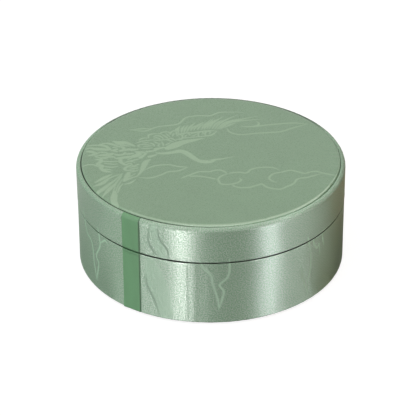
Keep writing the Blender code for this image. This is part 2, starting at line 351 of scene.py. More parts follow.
NEAR_FEATHERS: StrokeTable = (
    (((-36.7, 13.9), (-35.4, 13.0), (-34.0, 12.3), (-32.1, 12.5), (-30.6, 11.5), (-29.0, 10.3),
      (-28.4, 9.6)), (0.6, 1.6, 3.1, 2.2, 1.6, 1.0, 0.4)),
    (((-41.6, 11.5), (-39.5, 12.3), (-37.4, 11.7), (-36.0, 10.8), (-34.8, 9.8), (-33.8, 9.4)),
      (0.6, 1.0, 1.4, 1.2, 0.9, 0.4)),
    (((-34.4, 9.9), (-33.1, 10.5), (-31.6, 10.2), (-30.4, 9.7)), (0.4, 0.9, 0.9, 0.4)),
    (((-41.6, 11.7), (-40.6, 10.7), (-39.2, 9.9), (-38.3, 8.5), (-37.8, 7.6)),
      (0.9, 1.4, 1.4, 1.3, 1.2)),
    (((-45.8, 10.5), (-44.0, 10.9), (-42.6, 10.9), (-41.5, 10.6)), (0.7, 0.9, 0.9, 0.7)),
    (((-46.5, 8.0), (-45.9, 8.6), (-44.7, 8.8), (-43.5, 8.2), (-42.2, 7.9), (-40.3, 7.7),
      (-38.9, 7.3), (-37.9, 7.5)), (0.6, 0.9, 1.1, 1.7, 2.0, 1.9, 1.7, 1.0)),
    (((-46.0, 6.2), (-44.7, 6.0), (-43.4, 5.2), (-42.2, 4.7)), (1.2, 1.7, 1.2, 0.7)),
    (((-45.4, 3.1), (-44.0, 3.6), (-42.9, 4.3), (-42.0, 4.8)), (0.7, 1.3, 1.4, 0.7)),
    (((-41.7, 5.5), (-40.7, 5.5), (-39.5, 5.3), (-38.4, 4.9)), (0.7, 1.1, 0.9, 0.4)),
    (((-43.1, 2.7), (-41.7, 3.1), (-40.6, 3.2), (-39.1, 3.4), (-37.7, 3.6), (-36.5, 4.4)),
      (0.6, 0.8, 1.5, 2.0, 2.2, 1.2)),
    (((-42.8, 2.2), (-41.4, 1.4), (-40.0, 1.2), (-37.9, 1.8), (-36.5, 1.9), (-35.6, 1.3)),
      (0.7, 0.8, 1.2, 1.2, 1.1, 0.5)),
    (((-42.6, -0.1), (-41.3, -0.0), (-40.0, 0.9), (-38.4, 0.2)), (0.7, 1.0, 1.0, 0.4)),
    (((-40.7, -1.5), (-39.2, -1.5), (-36.9, -1.7), (-34.4, -1.7)), (1.0, 0.9, 0.9, 0.5)),
    (((-39.3, -3.0), (-37.3, -3.4), (-35.8, -3.8), (-34.7, -3.5)), (0.5, 0.7, 0.7, 0.4)),
    (((-39.6, -5.1), (-37.9, -5.7), (-36.3, -5.9), (-34.4, -5.3)), (0.5, 0.8, 0.8, 0.4)),
    (((-39.0, -7.3), (-37.7, -7.5), (-36.4, -8.1)), (0.8, 0.8, 0.4)),
    (((-37.2, 6.8), (-36.3, 6.8), (-35.3, 7.7), (-34.9, 7.5)), (0.7, 1.4, 1.2, 0.7)),
    (((-35.8, 6.2), (-35.0, 5.7)), (1.1, 0.8)),
    (((-36.4, 9.1), (-35.3, 9.0)), (0.9, 0.6)),
    (((-34.4, 9.6), (-33.0, 9.1), (-32.4, 7.9), (-32.5, 6.9), (-33.8, 6.4)),
      (0.6, 1.2, 1.2, 1.6, 1.2)),
    (((-35.8, 3.9), (-34.9, 3.3), (-34.0, 3.1), (-32.5, 3.7), (-31.9, 5.2)),
      (0.7, 1.3, 1.2, 1.2, 0.6)),
    (((-31.7, 6.8), (-30.7, 7.4), (-29.6, 7.1), (-28.3, 7.2), (-27.1, 7.6)),
      (1.0, 1.7, 1.7, 1.3, 0.7)),
    (((-31.6, 3.9), (-30.5, 3.9), (-28.9, 4.4)), (0.9, 1.3, 0.7)),
    (((-35.2, 0.7), (-34.1, 0.7), (-32.6, 1.2), (-31.1, 1.5), (-30.3, 1.9)),
      (0.9, 1.6, 1.7, 1.8, 1.2)),
    (((-29.6, 1.8), (-28.4, 2.2), (-27.1, 3.2), (-27.0, 4.9), (-27.9, 5.5)),
      (0.9, 2.3, 2.2, 1.6, 1.0)),
    (((-27.1, 2.4), (-25.7, 3.9)), (1.2, 0.6)),
    (((-27.1, 5.2), (-26.0, 5.3), (-24.8, 4.7), (-24.3, 3.8)), (0.9, 1.1, 1.0, 0.4)),
    (((-26.1, 1.1), (-24.1, 4.0)), (1.6, 0.8)),
    (((-22.7, 1.7), (-20.4, 3.0)), (1.7, 0.9)),
    (((-23.7, 5.5), (-20.6, 6.2)), (1.4, 0.8)),
    (((-20.5, 7.4), (-17.4, 8.6)), (1.7, 0.9)),
)
BREAST_DOWN: StrokeTable = (
    (((-33.5, 0.1), (-33.4, -2.0), (-32.4, -3.4), (-31.4, -4.3), (-30.7, -3.5)),
      (1.5, 1.5, 1.2, 1.0, 0.6)),
    (((-29.4, 1.0), (-30.6, -0.2)), (0.9, 0.7)),
    (((-27.0, -0.1), (-28.5, -0.8), (-30.2, -1.6), (-31.6, -2.5)), (0.6, 0.8, 0.9, 0.6)),
    (((-29.5, -1.8), (-28.2, -2.4)), (0.7, 0.4)),
    (((-31.0, -4.1), (-29.9, -3.1), (-29.1, -4.0)), (0.7, 0.7, 0.6)),
    (((-29.7, -4.7), (-30.8, -5.6), (-31.7, -7.0), (-31.5, -8.0), (-30.5, -8.4), (-28.3, -8.2)),
      (0.9, 1.1, 1.2, 1.0, 0.9, 0.6)),
    (((-29.9, -6.2), (-28.7, -5.7), (-27.0, -6.0)), (0.6, 0.8, 0.5)),
    (((-29.8, -7.4), (-28.5, -7.0), (-26.9, -7.3)), (0.5, 0.7, 0.4)),
    (((-29.1, -4.8), (-27.8, -4.8), (-26.8, -3.9)), (0.5, 0.7, 0.8)),
    (((-29.4, -9.6), (-28.1, -9.1), (-26.8, -8.2)), (0.7, 0.7, 0.4)),
)
FAR_SCALES: LineTable = (
    ((-26.9, 14.3), (-26.4, 15.2), (-25.3, 16.0), (-23.4, 16.0)),
    ((-23.4, 16.0), (-23.5, 17.7), (-23.0, 18.8), (-21.8, 19.2), (-20.1, 19.3)),
    ((-20.1, 19.3), (-19.1, 19.4), (-18.4, 20.3), (-17.0, 20.7), (-15.8, 20.3), (-15.2, 18.6)),
    ((-15.2, 18.5), (-14.9, 20.4), (-14.2, 21.4), (-13.4, 21.4), (-13.1, 22.4), (-12.5, 24.0)),
    ((-13.1, 21.3), (-12.9, 19.7), (-12.8, 18.0)),
    ((-21.5, 16.9), (-20.8, 17.6), (-19.8, 17.8), (-18.5, 16.7), (-17.8, 15.2)),
    ((-21.5, 15.6), (-20.6, 16.1), (-19.6, 15.7), (-19.1, 14.8)),
    ((-22.1, 14.5), (-20.5, 14.2), (-19.1, 14.2), (-17.8, 14.5), (-16.4, 14.5), (-15.0, 13.6),
     (-14.1, 12.9)),
    ((-18.6, 18.6), (-17.5, 17.7), (-16.5, 16.2), (-15.9, 14.8)),
    ((-16.9, 19.4), (-16.1, 18.0), (-15.4, 16.8)),
    ((-14.4, 17.2), (-14.1, 18.6), (-13.8, 19.6)),
    ((-12.8, 17.2), (-12.3, 18.1), (-11.4, 18.4), (-10.6, 17.3), (-10.7, 15.6), (-11.4, 14.6),
     (-12.4, 15.0)),
    ((-12.2, 16.6), (-11.7, 16.3)),
    ((-10.5, 17.8), (-10.0, 19.2), (-9.0, 19.8), (-8.2, 19.0), (-7.8, 17.7)),
    ((-9.7, 16.4), (-9.4, 17.5), (-8.9, 18.1)),
    ((-7.8, 18.5), (-6.6, 19.5), (-5.2, 20.1), (-4.0, 20.4)),
    ((-7.2, 17.3), (-6.3, 17.6), (-5.3, 18.7)),
    ((-28.1, 12.1), (-27.1, 12.7), (-26.3, 13.5), (-24.8, 13.8), (-23.4, 14.2), (-22.1, 14.5)),
    ((-26.6, 9.0), (-27.2, 9.9), (-26.9, 10.6), (-26.0, 11.0), (-24.5, 11.0), (-22.8, 10.5)),
    ((-25.8, 12.2), (-24.5, 12.3), (-23.3, 12.8)),
    ((-25.3, 9.5), (-23.7, 9.6), (-22.0, 9.9)),
    ((-26.1, 8.3), (-24.7, 8.0), (-23.3, 8.0), (-21.8, 8.4)),
    ((-22.9, 12.0), (-22.0, 11.7), (-21.3, 10.6), (-21.1, 9.5)),
    ((-21.2, 13.1), (-20.2, 12.0), (-19.1, 11.6)),
    ((-19.2, 9.1), (-19.7, 10.1), (-19.1, 11.2)),
    ((-18.4, 12.9), (-17.9, 11.4), (-17.7, 9.7)),
    ((-17.0, 10.3), (-16.1, 11.3), (-15.2, 12.3)),
    ((-15.9, 14.6), (-15.1, 15.6), (-14.0, 14.8), (-13.0, 13.5)),
)
CRANE_STROKES: StrokeTable = (
    # Leading edge of the far wing, and the outline of the feathers behind it.
    (((-16.0, 8.0), (-13.7, 9.9), (-11.5, 11.7), (-9.0, 13.0), (-5.7, 14.2), (-2.1, 15.7)),
      (2.6, 3.8, 3.3, 2.6, 1.6, 0.1)),
    (((-12.9, 14.6), (-10.5, 15.6), (-7.8, 16.1), (-4.7, 16.7), (-1.2, 17.3), (0.6, 18.2),
      (2.5, 21.0)), (0.5, 0.7, 0.7, 0.7, 0.8, 0.9, 0.3)),
    (((-12.3, 19.7), (-11.6, 18.9), (-9.3, 19.7), (-6.3, 20.1), (-3.7, 20.8), (-0.7, 21.3),
      (2.5, 21.1)), (0.5, 0.8, 0.8, 0.8, 0.8, 0.9, 0.3)),
    # Trailing edge of the near wing.
    (((-42.5, 0.4), (-40.7, -0.5), (-41.1, -2.3), (-41.9, -3.5), (-40.1, -5.0), (-40.5, -6.6),
      (-39.0, -8.6), (-36.6, -9.5)), (0.4, 1.6, 1.5, 1.3, 1.6, 1.4, 1.6, 0.5)),
    # Flank, breast, thigh and the tufts round them.
    (((-22.6, -0.4), (-24.0, -2.3), (-24.7, -5.3), (-25.4, -8.5), (-26.3, -11.2), (-27.3, -13.2)),
      (0.7, 2.1, 2.1, 1.4, 0.8, 0.4)),
    (((-30.2, -10.2), (-30.6, -12.4), (-31.6, -16.0)), (1.4, 2.0, 1.2)),
    (((-31.7, -16.5), (-29.7, -14.4), (-27.7, -13.3)), (0.5, 1.1, 0.3)),
    (((-29.6, -13.0), (-27.7, -10.8)), (0.6, 0.2)),
    (((-29.0, -13.7), (-26.7, -12.5)), (0.6, 0.3)),
    (((-31.3, -18.4), (-29.4, -17.6), (-27.5, -15.2)), (0.5, 1.0, 0.3)),
    # Tail and leg.
    (((-36.4, -11.2), (-39.1, -13.7), (-42.2, -17.0)), (0.4, 1.7, 0.5)),
    (((-33.4, -11.2), (-36.9, -13.7), (-39.7, -17.7), (-42.8, -19.8)), (0.3, 0.8, 1.8, 0.2)),
    (((-32.5, -10.6), (-34.9, -15.2), (-37.2, -18.7), (-39.3, -22.0), (-41.3, -24.6)),
      (0.3, 0.6, 1.4, 1.9, 1.6)),
    (((-32.8, -12.9), (-34.3, -17.2), (-36.4, -21.0), (-37.7, -23.8), (-39.1, -27.3)),
      (0.3, 0.5, 1.7, 1.4, 0.3)),
    (((-32.5, -11.3), (-34.6, -17.2), (-36.2, -19.5)), (0.2, 0.5, 0.2)),
    (((-33.5, -14.1), (-34.8, -19.5), (-35.3, -23.9)), (0.3, 0.5, 0.4)),
    (((-32.4, -14.9), (-33.8, -19.6), (-34.5, -23.9)), (0.3, 0.5, 0.4)),
    (((-32.0, -18.1), (-33.1, -20.5), (-33.7, -24.2)), (0.4, 0.7, 0.6)),
    (((-34.9, -23.9), (-34.9, -26.7), (-34.9, -30.0), (-34.1, -33.8)), (1.5, 2.3, 2.4, 2.3)),
    # Neck, head and beak.
    (((-20.4, 4.5), (-17.8, 4.0), (-14.8, 4.5), (-11.5, 5.5), (-9.1, 4.1), (-7.0, 1.2),
      (-4.7, -1.6), (-2.3, -2.6), (-0.1, -2.3), (1.7, -1.1), (4.6, -0.4), (8.8, 1.3)),
      (0.6, 1.5, 1.9, 2.4, 2.5, 2.3, 2.0, 2.4, 2.3, 1.3, 0.8, 0.1)),
)
TOP_CLOUDS: LineTable = (
    ((-26.9, -13.4), (-22.3, -14.1), (-18.2, -11.9), (-16.1, -10.0), (-14.3, -9.5), (-12.4, -9.3),
     (-10.6, -8.3), (-8.3, -6.3)),
    ((-8.3, -6.3), (-10.3, -6.2), (-12.1, -5.9), (-14.0, -5.0), (-16.5, -4.5), (-21.0, -5.4),
     (-24.8, -8.7)),
    ((-8.8, -6.4), (-10.1, -7.5)),
    ((-30.8, 22.6), (-24.9, 21.6), (-20.2, 24.8), (-12.6, 26.8), (-9.4, 32.0), (-4.7, 33.6),
     (-0.1, 33.5), (3.9, 36.3), (12.8, 36.3)),
    ((-30.8, 22.6), (-26.0, 23.4), (-22.4, 23.6)),
    ((6.2, 23.6), (7.4, 20.2), (11.2, 18.2), (18.0, 19.3), (26.4, 20.5), (31.0, 23.2),
     (37.2, 26.7)),
    ((37.2, 26.7), (31.2, 27.4), (22.8, 26.1), (15.5, 24.5), (11.0, 25.0)),
    ((13.6, 24.4), (17.4, 25.2), (18.6, 27.0), (17.6, 29.0)),
    ((-10.9, -14.7), (-9.8, -13.7), (-8.2, -12.6), (-6.4, -11.3), (-4.3, -10.0), (-2.5, -9.9),
     (-0.5, -10.0), (1.2, -9.1), (3.4, -8.9), (4.8, -9.8), (6.1, -11.7)),
    ((-8.4, -12.7), (-6.9, -13.2), (-5.4, -13.1), (-3.6, -13.3), (-2.2, -13.8), (-0.5, -14.4),
     (1.1, -15.1), (2.3, -15.6)),
    ((6.3, -11.6), (8.1, -10.8), (10.7, -10.6), (12.5, -11.2), (13.6, -10.5), (14.6, -8.8),
     (16.3, -7.7), (18.1, -7.1), (22.5, -7.1), (25.3, -9.2)),
    ((6.3, -11.6), (4.1, -13.0), (3.0, -14.5), (2.7, -15.9), (3.2, -18.0), (4.0, -19.1),
     (6.2, -19.3), (8.0, -18.9), (9.7, -18.1), (10.8, -16.8), (11.0, -16.0), (10.4, -14.9)),
    ((7.7, -19.2), (8.4, -20.5), (9.4, -21.3), (10.9, -21.7), (12.7, -21.6), (14.2, -21.4),
     (15.6, -20.6), (17.1, -19.9), (18.6, -19.2), (20.7, -21.7), (25.0, -22.8), (27.5, -21.0),
     (29.5, -19.5), (30.6, -17.9), (31.3, -15.9), (33.1, -14.9), (35.2, -14.4), (38.0, -12.9),
     (40.7, -11.6)),
    ((24.0, -18.1), (21.9, -16.5), (21.4, -14.2), (23.1, -11.7), (26.1, -10.5), (29.2, -9.2),
     (31.6, -10.1), (34.4, -11.4), (36.5, -10.4), (38.8, -9.9), (40.6, -11.0), (43.0, -11.9),
     (46.8, -13.2)),
    ((-47.6, -5.3), (-45.8, -4.0), (-43.8, -3.8), (-41.8, -5.1), (-40.0, -7.2)),
)
CURLED_FEATHER: tuple[Point, ...] = (
    (-0.8, -2.2), (-0.9, 0.0), (0.0, 1.4), (1.0, 0.4), (0.6, -0.9),
)
CURLED_FEATHERS: tuple[Point, ...] = ((-3.7, 19.3), (-1.1, 19.7))
EYE: tuple[Point, ...] = ((-0.9, -1.7), (0.0, -1.9))

# Places on the wall, as azimuth in degrees and height in millimetres.
FRONT_TAILS: LineTable = (
    ((-70.0, 31.0), (-68.4, 26.5), (-66.0, 21.5), (-61.9, 20.0), (-60.3, 16.4), (-59.8, 11.4),
     (-58.7, 7.6), (-58.2, 3.9)),
    ((-55.6, 29.0), (-55.0, 26.0), (-54.3, 21.0), (-57.6, 15.3), (-55.8, 12.8), (-57.0, 8.0),
     (-58.2, 3.9)),
    ((-54.8, 21.6), (-52.5, 23.4), (-50.4, 24.8), (-48.6, 23.6)),
    ((-5.2, 28.0), (-3.4, 24.4), (-0.2, 20.9), (0.4, 17.5), (1.8, 13.2), (2.7, 9.7), (2.8, 5.9)),
    ((7.2, 28.0), (7.4, 25.4), (7.3, 22.2), (6.2, 19.6), (3.3, 17.0), (4.9, 14.2), (4.2, 10.6),
     (2.8, 5.9)),
    ((43.8, 29.0), (44.8, 25.8), (46.0, 20.2), (46.1, 16.0), (45.7, 12.4), (44.3, 9.0),
     (44.7, 3.7)),
    ((40.2, 18.0), (41.0, 14.0), (42.0, 10.4), (44.7, 3.7)),
    ((47.6, 26.4), (48.2, 23.6), (50.2, 21.2), (51.6, 22.2), (52.4, 17.2)),
    ((53.8, 26.0), (54.3, 23.4), (55.4, 20.0)),
)
# Outlines of the cloud bodies right of the ribbon, and the bodies with their widths.
BESIDE_RIBBON: LineTable = (
    ((-22.2, 41.0), (-22.0, 35.6), (-20.4, 32.8), (-18.2, 30.3), (-17.7, 25.6)),
    ((-25.6, 39.4), (-26.8, 33.0), (-25.0, 29.6), (-22.2, 26.6)),
    ((-28.4, 19.0), (-27.9, 14.6), (-26.5, 11.4), (-24.2, 7.8), (-21.8, 0.6)),
)
CLOUD_BODIES: StrokeTable = (
    (((-24.2, 39.0), (-23.4, 34.5), (-21.4, 30.5), (-19.8, 26.6)), (2.0, 4.0, 4.0, 2.5)),
    (((-26.0, 24.5), (-24.6, 19.0), (-22.6, 13.0), (-20.6, 7.0), (-19.0, 1.0)),
      (3.0, 7.0, 8.0, 7.0, 5.0)),
)
# One hanging tail about its tip, and one scroll with a long point about its middle.
TAIL: LineTable = (
    ((-9.0, 22.0), (-6.0, 18.6), (-2.2, 14.6), (-1.6, 9.4), (-0.4, 4.4), (0.0, 0.0)),
    ((4.4, 23.0), (4.2, 17.0), (1.2, 11.8), (2.4, 8.2), (1.4, 3.6), (0.0, 0.0)),
    ((4.2, 17.0), (6.6, 19.0), (9.4, 18.6), (9.6, 16.4), (8.0, 15.8)),
)
SCROLL: tuple[Point, ...] = (
    (-1.6, -0.6), (-0.6, 0.8), (1.2, 0.4), (1.6, -1.6), (0.0, -3.4), (-3.2, -2.8), (-4.4, 0.4),
    (-2.6, 3.6), (1.6, 4.2), (4.0, 2.2), (8.2, 2.6), (14.0, 1.0),
)
# Where they are laid again round the back, with 1 or -1 for the way that they lean.
BACK_TAILS: tuple[Triple, ...] = (
    (92.0, 6.0, 1.0), (138.0, 3.4, -1.0), (186.0, 5.2, 1.0), (232.0, 4.0, -1.0), (276.0, 7.0, 1.0),
)
BACK_SCROLLS: tuple[Triple, ...] = (
    (84.0, 33.0, 1.0), (118.0, 31.0, -1.0), (164.0, 34.0, 1.0), (212.0, 31.5, 1.0),
    (256.0, 33.0, -1.0), (112.0, 10.0, 1.0), (160.0, 13.0, -1.0), (208.0, 9.0, 1.0),
    (252.0, 14.0, -1.0),
)


@dataclass
class CraneAndClouds:
    """The lid's figure: a crane flying to the right between drifting clouds.

    Attributes:
        cloud_line: Width of a cloud's outline in millimetres.
        scale_line: Width of the outlines of the far wing's scales.
        scale_tip: Width at their ends.
        feather: Widths along one of the far wing's feathers.
        curled: Widths along a curled feather.
        eye: Size of the gap left for the eye.
    """

    cloud_line: float = 0.74
    scale_line: float = 0.72
    scale_tip: float = 0.35
    feather: tuple[float, ...] = (0.4, 1.05, 0.1)
    curled: tuple[float, ...] = (0.5, 0.7, 0.7, 0.6, 0.3)
    eye: float = 0.45

    def far_wing(self) -> list[Stroke]:
        """The small feathers of the far wing.

        Returns:
            Their strokes.
        """
        strokes = [Stroke(points, self.feather) for points in FAR_FEATHERS]
        for x, y in CURLED_FEATHERS:
            strokes.append(Stroke(tuple((x + a, y + b) for a, b in CURLED_FEATHER), self.curled))
        return strokes + [line(points, self.scale_line, self.scale_tip) for points in FAR_SCALES]

    def figure(self) -> Figure:
        """The whole figure of the lid.

        Returns:
            The figure, in millimetres from the lid's middle.
        """
        tables = (*CRANE_STROKES, *NEAR_FEATHERS, *BREAST_DOWN)
        strokes = [Stroke(points, widths) for points, widths in tables] + self.far_wing()
        strokes += [line(points, self.cloud_line) for points in TOP_CLOUDS]
        return Figure(strokes, [Stroke(EYE, (self.eye, self.eye))])


@dataclass
class WallClouds:
    """The wall's figure: the long curling tails of clouds.

    Attributes:
        radius: The wall's radius in millimetres.
        cloud_line: Width of a cloud's outline.
        front_line: Width of the bolder tails.
        bold: Azimuths between which a bolder tail ends, in degrees.
    """

    radius: float = 50.0
    cloud_line: float = 0.68
    front_line: float = 0.90
    bold: tuple[Pair, ...] = ((-5.0, 5.0), (40.0, 56.0))

    def at(self, azimuth: float, z: float) -> Point:
        """A place on the wall, from degrees and millimetres, as (along the wall, up)."""
        return math.radians(azimuth) * self.radius, z

    def drawn(self, places: Sequence[Point]) -> Stroke:
        """A cloud's outline, bolder for the tails at the front and at the right.

        Args:
            places: Where it passes.

        Returns:
            The outline.
        """
        end = places[-1][0]
        wide = any(low < end < high for low, high in self.bold)
        return line([self.at(*p) for p in places], self.front_line if wide else self.cloud_line)

    def laid(self, shape: Sequence[Point], azimuth: float, z: float, side: float) -> Stroke:
        """An outline laid round a place of the wall, as drawn with side 1, mirrored with -1."""
        return self.drawn([(azimuth + side * a, z + b) for a, b in shape])

    def shade(self, azimuth: Array, z: Array) -> Array:
        """How dark the outlines beside the ribbon look against the bright cloth.

        Args:
            azimuth: In radians.
            z: Heights in metres.

        Returns:
            0 off the outlines to 1 on them.
        """
        places = [[self.at(*p) for p in path] for path in BESIDE_RIBBON]
        outlines = Figure([line(points, self.front_line) for points in places])
        return outlines.cover(np.radians(degrees_round(azimuth)) * self.radius * MM, z)

    def figure(self) -> Figure:
        """The figure of the whole wall.

        Returns:
            The figure, in millimetres along the wall and up.
        """
        strokes = [self.drawn(places) for places in (*FRONT_TAILS, *BESIDE_RIBBON)]
        strokes += [self.laid(path, *place) for place in BACK_TAILS for path in TAIL]
        strokes += [self.laid(SCROLL, *place) for place in BACK_SCROLLS]
        washes = [
            Stroke(tuple(self.at(*p) for p in path), widths) for path, widths in CLOUD_BODIES
        ]
        return Figure(strokes, washes=washes)

    def cover(self, azimuth: Array, z: Array) -> Array:
        """How far the figure's threads cover places on the wall.

        Args:
            azimuth: In radians.
            z: Heights in metres.

        Returns:
            0 on the ground to 1 on the figure.
        """
        quarter = FULL_TURN / 4.0
        drawn = (azimuth + quarter) % FULL_TURN - quarter
        return self.figure().cover(drawn * self.radius * MM, z)


# Meshes

SHARP_ANGLE = math.radians(60.0)


def about_axis(turn: Array, r: Array | float, z: Array | float) -> Array:
    """Rows (x, y, z) of the places at some azimuths, radii and heights."""
    return np.stack(np.broadcast_arrays(r * np.sin(turn), -r * np.cos(turn), z), axis=-1)


def grid_quads(rows: int, columns: int, count: int, stops: int) -> Array:
    """Faces of a grid of vertices, in which what would pass the last row or stop starts again.

    Args:
        rows: How many rows of faces it has.
        columns: How many faces each of them has.
        count: How many rows of vertices it has.
        stops: How many vertices each of them has.

    Returns:
        One row of four vertices for each face.
    """
    i, j = (a.ravel() for a in np.indices((rows, columns)))
    after, beside = (i + 1) % count, (j + 1) % stops
    around = [i * stops + j, after * stops + j, after * stops + beside, i * stops + beside]
    return np.stack(around, axis=-1)


def mesh_object(
    name: str,
    places: Array,
    corners: Array,
    sizes: Array,
    cloth: Array,
    marks: dict[str, Array] | None = None,
) -> Object:
    """An object from flat arrays.

    Args:
        name: The object's name.
        places: One row (x, y, z) for each vertex.
        corners: The vertex of each face corner, face after face.
        sizes: How many corners each face has.
        cloth: One row (u, v) in metres for each face corner.
        marks: Numbers from 0 to 1 for the vertices, by the name that a material reads.

    Returns:
        The linked object, shaded smooth.
    """
    mesh = bpy.data.meshes.new(name)
    mesh.vertices.add(len(places))
    mesh.vertices.foreach_set("co", np.ascontiguousarray(places, np.float32).ravel())
    mesh.loops.add(len(corners))
    mesh.loops.foreach_set("vertex_index", np.ascontiguousarray(corners, np.int32))
    mesh.polygons.add(len(sizes))
    starts = np.concatenate([[0], np.cumsum(sizes)[:-1]])
    mesh.polygons.foreach_set("loop_start", starts.astype(np.int32))
    layer = mesh.uv_layers.new(name=CLOTH_UV)
    layer.data.foreach_set("uv", np.ascontiguousarray(cloth, np.float32).ravel())
    mesh.update(calc_edges=True)
    mesh.validate()
    mesh.shade_smooth()
    mesh.set_sharp_from_angle(angle=SHARP_ANGLE)
    for mark, values in (marks or {}).items():
        layer = mesh.attributes.new(mark, "FLOAT", "POINT")
        layer.data.foreach_set("value", np.ascontiguousarray(values, np.float32).ravel())
    made = bpy.data.objects.new(name, mesh)
    bpy.context.scene.collection.objects.link(made)
    return made


@dataclass
class TurnedSkin:
    """A closed skin turned about the box's axis.

    Attributes:
        name: The piece's name.
        face: Points (r, z) of its seen face, with its body to their right.
        back: Points of its hidden face, in the same direction.
        radius: Radius at which widths along the cloth are measured.
        columns: Steps round the axis.
        start: Azimuth of its first edge, in radians.
        sweep: Angle that it takes up.
        nudge: Gives how far each point moves outward and up, from its azimuth, radius and height.
        cover: Gives the figure's cover, from azimuth and height; on the ribbon it gives its painted
            shade instead.
        dark: Gives the mark that dulls it and then darkens it with painted shade, from azimuth,
            radius and height.
    """

    name: str
    face: list[Point]
    back: list[Point]
    radius: float
    columns: int
    start: float = -math.pi
    sweep: float = FULL_TURN
    nudge: Nudge | None = None
    cover: Field | None = None
    dark: Depth | None = None

    def build(self) -> Object:
        """Makes the mesh.

        Returns:
            The linked object.
        """
        section = np.array([*self.face, *self.back[::-1]])
        rows = len(section)
        whole = self.sweep == FULL_TURN
        stops = self.columns if whole else self.columns + 1
        turn = self.start + self.sweep * np.arange(self.columns + 1) / self.columns
        turns = np.broadcast_to(turn[:stops], (rows, stops))
        r = np.broadcast_to(section[:, :1], (rows, stops))
        z = np.broadcast_to(section[:, 1:], (rows, stops))
        marks = {}
        if self.cover:
            seen = len(self.face)
            marks[FIGURE_AND_PAINTED_LIGHT] = np.zeros((rows, stops))
            marks[FIGURE_AND_PAINTED_LIGHT][:seen] = self.cover(turns[:seen], z[:seen])
        if self.dark:
            marks[DULL_AND_PAINTED_SHADE] = self.dark(turns, r, z)
        if self.nudge:
            out, up = self.nudge(turns, r, z)
            r, z = r + out, z + up
        places = about_axis(turns, r, z).reshape(-1, 3)
        quads = grid_quads(rows, self.columns, rows, stops)
        corners, sizes, cloth = quads.ravel(), np.full(len(quads), 4), self.laid_flat(section, turn)
        if not whole:
            ends = [np.arange(rows)[::-1] * stops, np.arange(rows) * stops + stops - 1]
            corners = np.concatenate([corners, *ends])
            sizes = np.concatenate([sizes, [rows, rows]])
            cloth = np.concatenate([cloth, section[::-1], section])
        return mesh_object(self.name, places, corners, sizes, cloth, marks)

    def laid_flat(self, section: Array, turn: Array) -> Array:
        """Where the corners of its quads lie on the flat cloth.

        Args:
            section: Points (r, z) round its section.
            turn: Azimuths round the axis, both ends included.

        Returns:
            One row (u, v) in metres for each corner.
        """
        steps = np.hypot(*(np.roll(section, -1, 0) - section).T)
        u, v = self.radius * turn, np.concatenate([[0.0], np.cumsum(steps)])
        i, j = (a.ravel() for a in np.indices((len(section), self.columns)))
        across = np.stack([u[j], u[j], u[j + 1], u[j + 1]], axis=-1)
        along = np.stack([v[i], v[i + 1], v[i + 1], v[i]], axis=-1)
        return np.stack([across, along], axis=-1).reshape(-1, 2)


SECTORS = 6


